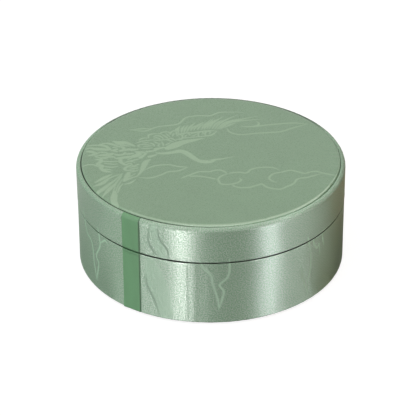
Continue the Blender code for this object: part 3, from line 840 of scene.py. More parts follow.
@dataclass
class CoveredDisc:
    """A cloth-covered disc: a finely divided top that rolls over its edge, and a hidden inside.

    Attributes:
        name: The piece's name.
        flat_radius: Where the roll of the edge begins.
        rings: Rings of the top, each with a step more in each sector.
        edge: Points (r, z) from the end of the top over the roll and down.
        back: Points (r, z) of the hidden face, from the axis out to the end of edge.
        top: Height of the top, from radius.
        nudge: As in TurnedSkin.
        cover: Gives the figure's cover, from x and y, with a painted highlight on the padded disc's
            crest.
        dark: As in TurnedSkin.
    """

    name: str
    flat_radius: float
    rings: int
    edge: list[Point]
    back: list[Point]
    top: Callable[[Array], Array]
    nudge: Nudge | None = None
    cover: Field | None = None
    dark: Depth | None = None

    def crown(self) -> tuple[Array, Array, list[tuple[int, int, int]]]:
        """The finely divided top, ring by ring from the middle.

        Returns:
            The azimuths and radii of its vertices, and its triangles.
        """
        turns, radii = [0.0], [0.0]
        for ring in range(1, self.rings + 1):
            steps = SECTORS * ring
            turns += [FULL_TURN * k / steps for k in range(steps)]
            radii += [self.flat_radius * ring / self.rings] * steps
        faces = []
        for ring in range(self.rings):
            here, there = SECTORS * ring, SECTORS * (ring + 1)
            inner = 1 + SECTORS * ring * (ring - 1) // 2
            outer = inner + here
            for sector in range(SECTORS):
                for k in range(ring + 1):
                    a = inner + (sector * ring + k) % here if ring else 0
                    b = outer + (sector * (ring + 1) + k) % there
                    c = outer + (sector * (ring + 1) + k + 1) % there
                    faces.append((a, b, c))
                    if k < ring:
                        faces.append((a, c, inner + (sector * ring + k + 1) % here))
        return np.array(turns), np.array(radii), faces

    def build(self) -> Object:
        """Makes the mesh.

        Returns:
            The linked object.
        """
        turns, radii, faces = self.crown()
        heights = self.top(radii)
        columns = SECTORS * self.rings
        start = len(turns) - columns
        lower = [*self.edge[1:], *self.back[:0:-1]]
        round_turn = FULL_TURN * np.arange(columns) / columns
        for r, z in lower:
            turns = np.concatenate([turns, round_turn])
            radii = np.concatenate([radii, np.full(columns, r)])
            heights = np.concatenate([heights, np.full(columns, z)])
        pole = len(turns)
        turns, radii = np.append(turns, 0.0), np.append(radii, 0.0)
        heights = np.append(heights, self.back[0][1])
        flat = about_axis(turns, radii, heights)[:, :2]
        marks = {}
        if self.cover:
            seen = start + columns * len(self.edge)
            marks[FIGURE_AND_PAINTED_LIGHT] = np.zeros(len(turns))
            marks[FIGURE_AND_PAINTED_LIGHT][:seen] = self.cover(*flat[:seen].T)
        if self.dark:
            marks[DULL_AND_PAINTED_SHADE] = self.dark(turns, radii, heights)
        if self.nudge:
            out, up = self.nudge(turns, radii, heights)
            radii, heights = radii + out, heights + up
        places = about_axis(turns, radii, heights)
        quads = start + grid_quads(len(lower), columns, len(lower) + 1, columns)
        last = start + len(lower) * columns
        k = np.arange(columns)
        fan = np.stack([last + k, np.full(columns, pole), last + (k + 1) % columns], axis=-1)
        corners = np.concatenate([np.array(faces).ravel(), quads.ravel(), fan.ravel()])
        sizes = np.concatenate(
            [np.full(len(faces), 3), np.full(len(quads), 4), np.full(columns, 3)]
        )
        return mesh_object(self.name, places, corners, sizes, flat[corners], marks)


def degrees_round(turn: Array) -> Array:
    """Azimuths in degrees from -180 to 180, from radians."""
    return (np.degrees(turn) + 180.0) % 360.0 - 180.0


def hump(x: Array, middle: float, width: float) -> Array:
    """A smooth hump of 1 at its middle."""
    return np.exp(-(((x - middle) / width) ** 2))


def groove_shade_reach(turn: Array) -> Array:
    """Where the groove's painted shade climbs higher up the padded disc's edge, 0 to 1: round 27
    degrees left.
    """
    return hump(degrees_round(turn), -27.0, 13.0)


def groove_shade(turn: Array) -> Array:
    """How dark the groove round the padded disc is, by azimuth: most at the front left."""
    angle = degrees_round(turn)
    return 0.25 + 0.75 * ease(angle, -112.0, -92.0) * (1.0 - ease(angle, -6.0, 30.0))


def seam_shade(turn: Array) -> Array:
    """How dark the cloth is inside the seam, by azimuth: the lid sits closest at the left."""
    return 0.35 + 0.65 * ease(degrees_round(turn), -75.0, -42.0)


def rim_shade(turn: Array) -> Array:
    """How far the rim's fold is dulled, then darkened with painted shade: most at the back, least at
    the front right.
    """
    angle = degrees_round(turn)
    return 0.5 + 0.35 * ease(np.abs(angle), 112.0, 130.0) - 0.22 * hump(angle, 34.0, 8.0)


@dataclass
class Puckers:
    """Small uneven gathers where cloth is drawn over a round edge.

    Attributes:
        seed: Which set of gathers.
        height: Their usual height in metres.
        knots: Strong single gathers as (azimuth in degrees, width in degrees, height in metres).
        waves: How many ripples are laid over each other.
        fewest: Fewest crests of a ripple round the box.
        most: The number that they stay below.
        swell: How much the gathers grow and shrink round the box.
    """

    seed: int
    height: float
    knots: tuple[Triple, ...] = ()
    waves: int = 11
    fewest: int = 24
    most: int = 150
    swell: float = 0.6

    def along(self, azimuth: Array) -> Array:
        """How far the cloth stands out.

        Args:
            azimuth: In radians.

        Returns:
            The heights in metres.
        """
        draw = np.random.default_rng(self.seed)
        total = np.zeros_like(azimuth)
        for count in draw.integers(self.fewest, self.most, self.waves):
            total += np.sin(count * azimuth + draw.uniform(0.0, FULL_TURN))
        swell = 1.0 + self.swell * np.sin(3.0 * azimuth + draw.uniform(0.0, FULL_TURN))
        total *= self.height * swell / 4.0
        for centre, width, height in self.knots:
            total += height * hump(azimuth, math.radians(centre), math.radians(width))
        return total


# Finishes


class Op(Enum):
    """What a Math node does."""

    PLUS = "ADD"
    MINUS = "SUBTRACT"
    TIMES = "MULTIPLY"
    TIMES_PLUS = "MULTIPLY_ADD"
    LOWER = "MINIMUM"
    HIGHER = "MAXIMUM"


class Nodes:
    """A node tree under construction."""

    def __init__(self, tree: bpy.types.NodeTree) -> None:
        """Takes up a tree."""
        self.tree = tree

    def feed(self, socket: Socket, value: object) -> None:
        """Links another node's socket to this one, or sets its number or colour.

        Args:
            socket: The input socket.
            value: An output socket, a number or a colour.
        """
        if isinstance(value, bpy.types.NodeSocket):
            self.tree.links.new(value, socket)
        else:
            socket.default_value = value

    def add(self, kind: str, inputs: dict | None = None, **settings: object) -> bpy.types.Node:
        """Adds a node.

        Args:
            kind: Blender's name for the node type.
            inputs: Sockets, numbers or colours for its inputs, by name or place.
            settings: Its own settings.

        Returns:
            The node.
        """
        node = self.tree.nodes.new(kind)
        for key, value in settings.items():
            setattr(node, key, value)
        for key, value in (inputs or {}).items():
            self.feed(node.inputs[key], value)
        return node

    def maths(self, op: Op, a: object, b: object = 0.0, c: object = 0.0) -> Socket:
        """The result of a Math node."""
        return self.add("ShaderNodeMath", {0: a, 1: b, 2: c}, operation=op.value).outputs[0]

    def mix(self, share: object, a: object, b: object) -> Socket:
        """A mix of two colours."""
        return self.add("ShaderNodeMix", {0: share, 6: a, 7: b}, data_type="RGBA").outputs[2]

    def between(self, value: object, low: float, high: float) -> Socket:
        """A number from 0 to 1 carried to the range from low to high."""
        inputs = {"Value": value, "To Min": low, "To Max": high}
        return self.add("ShaderNodeMapRange", inputs).outputs[0]

    def seen_white(self) -> Socket:
        """1 for the rays that see the background as white.

        Returns:
            1 for the camera's, glossy and transmission rays, and 0 for others.
        """
        rays = self.add("ShaderNodeLightPath").outputs
        seen = self.maths(Op.HIGHER, rays["Is Camera Ray"], rays["Is Glossy Ray"])
        return self.maths(Op.HIGHER, seen, rays["Is Transmission Ray"])


class Shader(Nodes):
    """A Principled BSDF material under construction."""

    def __init__(self, name: str) -> None:
        """Starts a material.

        Args:
            name: The material's name.
        """
        self.material = bpy.data.materials.new(name)
        self.material.use_nodes = True
        super().__init__(self.material.node_tree)
        self.surface = self.tree.nodes["Principled BSDF"]

    def shine(self, **inputs: object) -> None:
        """Sets inputs of the shader itself, named with _ for each space."""
        for key, value in inputs.items():
            self.feed(self.surface.inputs[key.replace("_", " ")], value)

    def mark(self, name: str) -> Socket:
        """A number stored on the mesh, from 0 to 1."""
        return self.add("ShaderNodeAttribute", attribute_name=name).outputs["Fac"]

    def crisp(self, value: object) -> Socket:
        """A noise's middle range stretched to 0 to 1."""
        inputs = {"Value": value, "From Min": 0.40, "From Max": 0.60}
        return self.add("ShaderNodeMapRange", inputs).outputs[0]

    def tinted(self, colour: object, shade: object) -> Socket:
        """A colour made lighter or darker."""
        inputs = {0: colour, 1: shade}
        return self.add("ShaderNodeVectorMath", inputs, operation="MULTIPLY").outputs[0]

    def uneven(self, fine: Shades, slow: Shades) -> Socket:
        """A shade from two patterns, each given with the shades at its low and high places."""
        return self.maths(Op.TIMES, self.between(*fine), self.between(*slow))

    def cloth_place(self, scale: Triple = (1.0, 1.0, 1.0), turn: float = 0.0) -> Socket:
        """Places on the flat cloth in metres.

        Args:
            scale: Their scale in each direction.
            turn: Their turn in radians.

        Returns:
            The places.
        """
        uv = self.add("ShaderNodeUVMap", uv_map=CLOTH_UV).outputs[0]
        inputs = {"Vector": uv, "Rotation": (0.0, 0.0, turn), "Scale": scale}
        return self.add("ShaderNodeMapping", inputs).outputs[0]

    def solid_place(self) -> Socket:
        """Places in the piece's own space, in metres."""
        return self.add("ShaderNodeTexCoord").outputs["Object"]

    def noise(self, place: object, scale: float, detail: float = 2.0) -> Socket:
        """A noise of some grains per metre."""
        inputs = {"Vector": place, "Scale": scale, "Detail": detail}
        return self.add("ShaderNodeTexNoise", inputs).outputs["Fac"]

    def ribs(self, period: float, turn: float, waver: float = 0.5) -> Socket:
        """Parallel ribs on the cloth.

        Args:
            period: Distance from one rib to the next.
            turn: Direction across them, in radians from the cloth's width.
            waver: How unevenly they run.

        Returns:
            Their height, 0 to 1.
        """
        inputs = {
            "Vector": self.cloth_place(turn=turn),
            "Scale": 0.1 * math.pi / period,
            "Distortion": waver,
            "Detail": 1.0,
        }
        return self.add("ShaderNodeTexWave", inputs, bands_direction="X").outputs["Fac"]

    def bump(self, height: object, depth: float, under: object | None = None) -> Socket:
        """Relief from a pattern.

        Args:
            height: The pattern.
            depth: Its depth in metres.
            under: Another relief that it lies on.

        Returns:
            The relief.
        """
        inputs: dict = {"Height": height, "Distance": depth, "Strength": 1.0}
        if under is not None:
            inputs["Normal"] = under
        return self.add("ShaderNodeBump", inputs).outputs[0]


def rgba(colour: Colour) -> tuple[float, float, float, float]:
    """A colour socket's value, from linear red, green and blue."""
    return (*colour, 1.0)


def linear(value: int) -> float:
    """Linear light from the 0 to 255 that a screen shows, after the sRGB standard."""
    v = value / 255.0
    return v / 12.92 if v <= 0.04045 else ((v + 0.055) / 1.055) ** 2.4


def screen(red: int, green: int, blue: int) -> Colour:
    """Linear colour from the 0 to 255 that a screen shows."""
    return linear(red), linear(green), linear(blue)


@dataclass(frozen=True)
class FiguredSilk:
    """Satin-ground silk damask: a glossy ground, and a figure in duller, paler threads.

    Attributes:
        ground: Colour of the ground.
        figure: Colour of the figure.
        fleck_share: How much of the flecks' colour the glints take.
        ground_rough: Roughness of the ground's satin.
        figure_rough: Roughness of the figure's threads.
        rib: Distance from one diagonal rib of the weave to the next.
        grain: Size of the uneven glints.
        lustre: How strongly they shine, 0 to 1.
        fleck: Their own colour, paler and greyer than the ground.
        fold_rough: How much rougher the silk is over its folds.
        turned: True where the warp runs up the wall.
        patches: Slow patches of shade per metre.
        streak: Width and length of the slubs along the warp.
    """

    ground: Colour
    figure: Colour
    fleck_share: float
    ground_rough: float = 0.42
    figure_rough: float = 0.95
    rib: float = 0.00075
    grain: float = 0.00046
    lustre: float = 0.46
    fleck: Colour = (0.33, 0.41, 0.34)
    fold_rough: float = 0.35
    turned: bool = True
    patches: float = 90.0
    streak: Pair = (0.0022, 0.045)

    def make(self, name: str) -> Material:
        """Makes the material.

        Args:
            name: Its name.

        Returns:
            The material.
        """
        s = Shader(name)
        cover, dull_and_shade_mark = s.mark(FIGURE_AND_PAINTED_LIGHT), s.mark(DULL_AND_PAINTED_SHADE)
        place = s.cloth_place()
        grain = s.crisp(s.noise(place, 1.0 / self.grain))
        slow = s.noise(place, self.patches, 3.0)
        twill = s.ribs(self.rib, math.radians(45.0), 0.6)
        # The first half of the mark dulls the silk, and the second half darkens it with painted
        # shade.
        dull = s.maths(Op.LOWER, s.maths(Op.TIMES, dull_and_shade_mark, 2.0), 1.0)
        painted_shade_part = s.maths(Op.HIGHER, s.maths(Op.TIMES_PLUS, dull_and_shade_mark, 2.0, -1.0), 0.0)
        # Flecks of the glossy warp, only on the ground.
        flecks = s.maths(Op.TIMES, s.maths(Op.MINUS, 1.0, cover), grain)
        # Fewer glinting flecks where the mark paints shade.
        flecks = s.maths(Op.TIMES, flecks, s.between(painted_shade_part, 1.0, 0.3))
        colour = s.mix(cover, rgba(self.ground), rgba(self.figure))
        colour = s.mix(s.maths(Op.TIMES, flecks, self.fleck_share), colour, rgba(self.fleck))
        speck = s.maths(Op.PLUS, s.between(grain, 0.95, 1.03), s.between(twill, 0.0, 0.04))
        shade = s.maths(Op.TIMES, s.between(slow, 0.93, 1.07), speck)
        # Painted shade from the mark's second half.
        shade = s.maths(Op.TIMES, shade, s.between(painted_shade_part, 1.0, 0.12))
        duller = self.figure_rough - self.ground_rough
        rough = s.maths(Op.TIMES_PLUS, cover, duller, self.ground_rough)
        rough = s.maths(Op.PLUS, rough, s.between(grain, 0.03, -0.03))
        rough = s.maths(Op.TIMES_PLUS, dull, self.fold_rough, rough)
        relief = s.bump(grain, 0.00001, s.bump(twill, 0.000012))
        if self.turned:
            width, length = self.streak
            slub = s.noise(s.cloth_place((1.0 / width, 1.0 / length, 1.0)), 1.0)
            relief = s.bump(slub, 0.000012, relief)
        s.shine(
            Base_Color=s.tinted(colour, shade),
            Roughness=rough,
            Metallic=s.maths(Op.TIMES, flecks, s.between(dull, self.lustre, 0.3 * self.lustre)),
            Normal=relief,
            IOR=1.5,
            Specular_IOR_Level=0.5,
            Anisotropic=0.9 if self.turned else 0.3,
        )
        tangent = s.add("ShaderNodeTangent", direction_type="UV_MAP", uv_map=CLOTH_UV).outputs[0]
        s.shine(Tangent=tangent, Anisotropic_Rotation=0.25)
        return s.material


@dataclass(frozen=True)
class PlainRibbon:
    """Plain woven ribbon with fine cross ribs.

    Attributes:
        colour: Its colour.
        rib: Distance from one rib to the next.
        fleck: Size of its uneven spots.
        edge: How light it is left in the shade of its edges, as a share.
    """

    colour: Colour = screen(113, 171, 121)
    rib: float = 0.00045
    fleck: float = 1.0 / 1800.0
    edge: float = 0.45

    def make(self, name: str) -> Material:
        """Makes the material.

        Args:
            name: Its name.

        Returns:
            The material.
        """
        s = Shader(name)
        fleck = s.noise(s.cloth_place(), 1.0 / self.fleck)
        slow = s.noise(s.cloth_place((400.0, 40.0, 1.0)), 1.0)
        shade = s.uneven((fleck, 0.93, 1.07), (slow, 0.93, 1.07))
        # The ribbon has no figure, and that mark says where its edges lie in shade.
        shade = s.maths(Op.TIMES, shade, s.between(s.mark(FIGURE_AND_PAINTED_LIGHT), 1.0, self.edge))
        ribs = s.ribs(self.rib, math.radians(90.0))
        s.shine(
            Base_Color=s.tinted(self.colour, shade),
            Roughness=s.between(fleck, 0.50, 0.66),
            Normal=s.bump(fleck, 0.00003, s.bump(ribs, 0.00003)),
            Specular_IOR_Level=0.3,
        )
        return s.material


class Grain(Enum):
    """What the fine pattern of a mottled finish is."""

    THREADS = "threads on the flat cloth"
    FIBRES = "fibres"
    CELLS = "cells"


@dataclass(frozen=True)
class Pattern:
    """One of the two patterns of a mottled finish.

    Attributes:
        size: Size of its spots.
        detail: How ragged they are.
        low: Shade of its low places.
        high: Shade of its high places.
        depth: Its depth.
    """

    size: float
    detail: float
    low: float
    high: float
    depth: float = 0.0


@dataclass(frozen=True)
class Mottled:
    """A finish of one colour with a fine pattern over slow patches.

    Attributes:
        colour: Its colour.
        grain: What the fine pattern is.
        fine: The fine pattern.
        slow: The patches.
        rough: Roughness at the fine pattern's low and high places.
        gloss: Further inputs of the shader.
        thread: Distance from one thread to the next.
    """

    colour: Colour
    grain: Grain
    fine: Pattern
    slow: Pattern
    rough: Pair
    gloss: tuple[tuple[str, object], ...] = ()
    thread: float = 0.00025

    def make(self, name: str) -> Material:
        """Makes the material.

        Args:
            name: Its name.

        Returns:
            The material.
        """
        s = Shader(name)
        woven = self.grain is Grain.THREADS
        place = s.cloth_place() if woven else s.solid_place()
        if self.grain is Grain.CELLS:
            inputs = {"Vector": place, "Scale": 1.0 / self.fine.size}
            fine = s.add("ShaderNodeTexVoronoi", inputs).outputs["Distance"]
        else:
            fine = s.noise(place, 1.0 / self.fine.size, self.fine.detail)
        slow = s.noise(place, 1.0 / self.slow.size, self.slow.detail)
        shades = (fine, self.fine.low, self.fine.high), (slow, self.slow.low, self.slow.high)
        under = s.bump(s.ribs(self.thread, math.radians(30.0), 0.8), 0.000015) if woven else None
        relief = s.bump(fine, self.fine.depth, under)
        if self.slow.depth:
            relief = s.bump(slow, self.slow.depth, relief)
        s.shine(
            Base_Color=s.tinted(self.colour, s.uneven(*shades)),
            Roughness=s.between(fine, *self.rough),
            Normal=relief,
            **dict(self.gloss),
        )
        return s.material


class Finish(Enum):
    """The box's finishes, each used by several pieces."""

    # One silk in two copies: the wall's is painted lighter and the top's darker, standing in for the
    # weaker light on the upright wall and the stronger light on the top.
    FIGURED_SILK_WALL_PAINTED_LIGHTER = FiguredSilk(
        ground=screen(125, 167, 132),
        figure=screen(178, 216, 186),
        fleck=(0.46, 0.50, 0.46),
        fleck_share=0.55,
    )
    FIGURED_SILK_TOP_PAINTED_DARKER = FiguredSilk(
        ground=screen(117, 154, 119),
        figure=screen(146, 178, 146),
        ground_rough=0.30,
        figure_rough=0.50,
        lustre=0.10,
        fleck_share=0.30,
        turned=False,
    )
    RIBBON = PlainRibbon()
    # Plain satin of the linings and the neck.
    LINING = Mottled(
        screen(94, 132, 100),
        Grain.THREADS,
        Pattern(1.0 / 1500.0, 2.0, 0.92, 1.08, 0.00004),
        Pattern(1.0 / 120.0, 2.0, 0.90, 1.10, 0.0003),
        (0.34, 0.50),
        (("Metallic", 0.15), ("Sheen_Weight", 0.1)),
    )
    # Short cut-pile velvet of the bangle cushion.
    VELVET = Mottled(
        screen(240, 233, 214),
        Grain.FIBRES,
        Pattern(0.00035, 3.0, 0.84, 1.10, 0.00025),
        Pattern(1.0 / 140.0, 3.0, 0.86, 1.08, 0.0004),
        (0.82, 1.0),
        (
            ("Sheen_Weight", 0.7),
            ("Sheen_Roughness", 0.35),
            ("Sheen_Tint", (1.0, 0.98, 0.92, 1.0)),
            ("Specular_IOR_Level", 0.25),
        ),
    )
    # Pressed grey board with flecks of recycled fibre.
    BOARD = Mottled(
        screen(160, 156, 146),
        Grain.FIBRES,
        Pattern(0.0006, 5.0, 0.70, 1.20, 0.00008),
        Pattern(1.0 / 60.0, 3.0, 0.92, 1.06),
        (0.84, 0.98),
    )
    # Open-cell foam of the padding and cushions.
    WADDING = Mottled(
        screen(236, 232, 218),
        Grain.CELLS,
        Pattern(0.0008, 2.0, 0.78, 1.06, 0.0003),
        Pattern(1.0 / 50.0, 2.0, 0.92, 1.04),
        (0.80, 1.0),
    )
    # Dark laid paper glued under the base.
    COVER_PAPER = Mottled(
        screen(66, 82, 70),
        Grain.FIBRES,
        Pattern(0.0012, 6.0, 0.80, 1.22, 0.00006),
        Pattern(1.0 / 70.0, 4.0, 0.88, 1.16),
        (0.70, 0.92),
    )

    @cached_property
    def material(self) -> Material:
        """Its material, made once."""
        return self.value.make(self.name.lower())


def wear(made: Object, material: Material) -> None:
    """Gives an object one material in place of any that it has."""
    made.data.materials.clear()
    made.data.materials.append(material)


def place_piece(made: Object, finish: Finish, body: Body, node: str) -> Object:
    """Dresses a new piece and puts it in a solid's place.

    Args:
        made: The piece.
        finish: What it wears.
        body: The body that it rides on.
        node: The solid that it stands for.

    Returns:
        The piece.
    """
    wear(made, finish.material)
    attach(made, body.value)
    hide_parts(node)
    LOG.info("%s: %d vertices on %s", made.name, len(made.data.vertices), body.value)
    return made


def keep_solids(nodes: dict, names: Sequence[str], finish: Finish) -> None:
    """Dresses solids that stay as they are.

    Args:
        nodes: The frame's solids by name.
        names: Which of them.
        finish: What they wear.
    """
    for name in names:
        wear(nodes[name], finish.material)
        LOG.info("%s: kept solid", name)


# Sub-assemblies


@dataclass
class SideCloths:
    """Figured silk and plain ribbon round one wall.

    Attributes:
        body: The body that wears them.
        seed: Which unevenness the silk has.
        top_round: Radius of the upper edge.
        low: Lower edge of the wall, known once the solids are read.
        high: Its upper edge.
        radius: Outer radius of the silk.
        cloth: Thickness of the silk.
        low_round: Radius of the lower edge.
        ribbon_from: Azimuth of the ribbon's left edge, in degrees.
        ribbon_to: Azimuth of its right edge.
        silk_from: Azimuth where the silk begins, to the right of the ribbon.
        silk_short: How far short of the ribbon's left edge it ends, in degrees.
        proud: How far the ribbon stands out of the silk.
        flare: How far the ribbon's left edge stands off at the bottom.
        columns: The silk's steps round the wall.
        spacing: Distance between its points down the wall.
        ribbon_columns: The ribbon's steps from edge to edge.
        ribbon_spacing: Distance between its points down the wall.
        steps: Shallow upright steps as (azimuth and half width in degrees, rise in metres).
        groove: Radius of the lid silk's turn down beside the padded disc.
        woven_shade: How much darker the figure's outlines beside the ribbon are painted, as they look
            against the glinting cloth.
        clouds: The woven figure.
    """

    body: Body
    seed: int
    top_round: float
    low: float = 0.0
    high: float = 0.0
    radius: float = 0.050
    cloth: float = 0.0002
    low_round: float = 0.0006
    ribbon_from: float = -39.75
    ribbon_to: float = -30.90
    silk_from: float = -31.00
    silk_short: float = 0.06
    proud: float = 0.00015
    flare: float = 0.0
    columns: int = 880
    spacing: float = 0.00036
    ribbon_columns: int = 64
    ribbon_spacing: float = 0.0005
    steps: tuple[Triple, ...] = ()
    groove: float = 0.04828
    woven_shade: float = 0.66
    clouds: WallClouds = field(default_factory=WallClouds)

    def corners(self, radius: float) -> list[Point]:
        """The seen face of the wall from its rounded top edge to its rounded lower edge.

        Args:
            radius: Its outer radius.

        Returns:
            Its points (r, z).
        """
        t, b = self.top_round, self.low_round
        return [
            *arc((radius - t, self.high - t), t, 90.0, 0.0, 7),
            *arc((radius - b, self.low + b), b, 0.0, -90.0, 5),
        ]

    def laid(self, turn: Array, r: Array, z: Array) -> Moves:
        """The hand-laid silk: gathered edges, waves, upright steps and a folded first edge.

        Args:
            turn: Azimuths.
            r: Radii.
            z: Heights.

        Returns:
            How far each place moves out and up.
        """
        puckers = Puckers(self.seed, 0.00002)
        near = hump(z, self.low, 0.0012) + hump(z, self.high, 0.0012)
        outer = ease(r, self.radius - 0.0016, self.radius - 0.0004)
        slow = 0.00003 * np.sin(7.0 * turn + 160.0 * z + self.seed)
        for centre, width, rise in self.steps:
            slow = slow + rise / 2.0 * np.tanh((np.degrees(turn) - centre) / width)
        out = (puckers.along(turn) * near + slow) * outer
        past = (turn - math.radians(self.silk_from)) * self.radius
        fold = np.clip(1.0 - past / 0.0004, 0.0, 1.0)
        sunk = 0.00016 * (1.0 - np.sqrt(np.clip(1.0 - fold**2, 0.0, 1.0)))
        out = out - sunk * ease(r, self.radius - 0.0010, self.radius - 0.0003)
        return out, 0.4 * puckers.along(turn + 1.0) * near * outer

    def dulling_and_painted_shade(self, turn: Array, r: Array, z: Array) -> Array:
        """The mark that dulls the silk up to a half, and from there to 1 darkens it with painted
        shade.

        Args:
            turn: Azimuths.
            r: Radii.
            z: Heights.

        Returns:
            The mark: painted shade in the seam, along the base's bottom edge and in the groove; the
                rim's fold dulled, with painted shade at the back; outlines beside the ribbon painted
                darker.
        """
        seam = self.low if self.body is Body.LID else self.high
        inside = 1.0 - ease(r, self.radius - 0.00024, self.radius - 0.00003)
        inside *= ease(r, self.radius - 0.0018, self.radius - 0.0010)
        # Painted shade inside the seam.
        at_seam = seam_shade(turn) * inside * (1.0 - ease(np.abs(z - seam), 0.0006, 0.0012))
        # The woven outlines beside the ribbon are painted darker, as they look against the glinting
        # cloth.
        found = np.maximum(at_seam, self.woven_shade * self.clouds.shade(turn, z))
        if self.body is Body.BASE:
            # Painted shade along the base's bottom edge.
            underneath = 0.75 * (1.0 - ease(z, self.low + 0.0001, self.low + 0.0005))
            return np.maximum(found, underneath)
        # Painted shade in the groove beside the padded disc, and on the rim's fold as rim_shade
        # gives.
        beside_pad = 1.0 - ease(r, self.groove, self.groove + 0.00035)
        in_groove = beside_pad * ease(z, self.high - 0.0020, self.high - 0.0015)
        rim = rim_shade(turn) * ease(z, self.high - 0.0014, self.high - 0.0006)
        return np.maximum(found, np.maximum(rim, in_groove * groove_shade(turn)))

    def silk(self, name: str, path: Section) -> Object:
        """The figured silk, from the ribbon's right edge round to its left edge.

        Args:
            name: The piece's name.
            path: Gives the seen face's section for a radius.

        Returns:
            The piece.
        """
        face = path(self.radius)
        sweep = math.radians(360.0 + self.ribbon_from - self.silk_short - self.silk_from)
        return TurnedSkin(
            name,
            run(face, self.spacing),
            offset(face, self.cloth),
            self.radius,
            self.columns,
            math.radians(self.silk_from),
            sweep,
            self.laid,
            self.clouds.cover,
            self.dulling_and_painted_shade,
        ).build()

    def across(self, turn: Array) -> Array:
        """Places across the ribbon: -1 at its left edge and 1 at its right edge."""
        start, end = math.radians(self.ribbon_from), math.radians(self.ribbon_to)
        return (turn - (start + end) / 2.0) / ((end - start) / 2.0)

    def rolled(self, turn: Array, r: Array, z: Array) -> Moves:
        """The ribbon's rolled edges with a slight swell beside them, and its flare.

        Args:
            turn: Azimuths.
            r: Radii.
            z: Heights.

        Returns:
            How far each place moves out and up.
        """
        side = self.across(turn)
        edge = np.clip((np.abs(side) - 0.90) / 0.10, 0.0, 1.0)
        roll = -0.00018 * (1.0 - np.sqrt(np.clip(1.0 - edge**2, 0.0, 1.0)))
        roll += 0.00004 * hump(side, 0.80, 0.05)
        off = self.flare * ease(-side, 0.2, 1.0) * ease(-z, -(self.low + 0.005), -self.low)
        outer = ease(r, self.radius - 0.0010, self.radius - 0.0003)
        return (roll + off) * outer, np.zeros_like(turn)

    def shaded(self, turn: Array, z: Array) -> Array:
        """How far the ribbon lies in shade: at its right edge and at both ends.

        Args:
            turn: Azimuths.
            z: Heights.

        Returns:
            The shade, from 0 to 1.
        """
        lower = 0.8 * (1.0 - ease(z, self.low + 0.0001, self.low + 0.0006))
        upper = 0.35 * ease(z, self.high - 0.0016, self.high - 0.0004)
        return np.maximum(ease(self.across(turn), 0.86, 0.93), lower + upper)

    def ribbon(self, name: str, path: Section) -> Object:
        """The plain ribbon, a little proud, with rolled edges.

        Args:
            name: The piece's name.
            path: Gives the seen face's section for a radius.

        Returns:
            The piece.
        """
        face = path(self.radius + self.proud)
        return TurnedSkin(
            name,
            run(face, self.ribbon_spacing),
            offset(face, self.cloth),
            self.radius,
            self.ribbon_columns,
            math.radians(self.ribbon_from),
            math.radians(self.ribbon_to) - math.radians(self.ribbon_from),
            self.rolled,
            self.shaded,
        ).build()


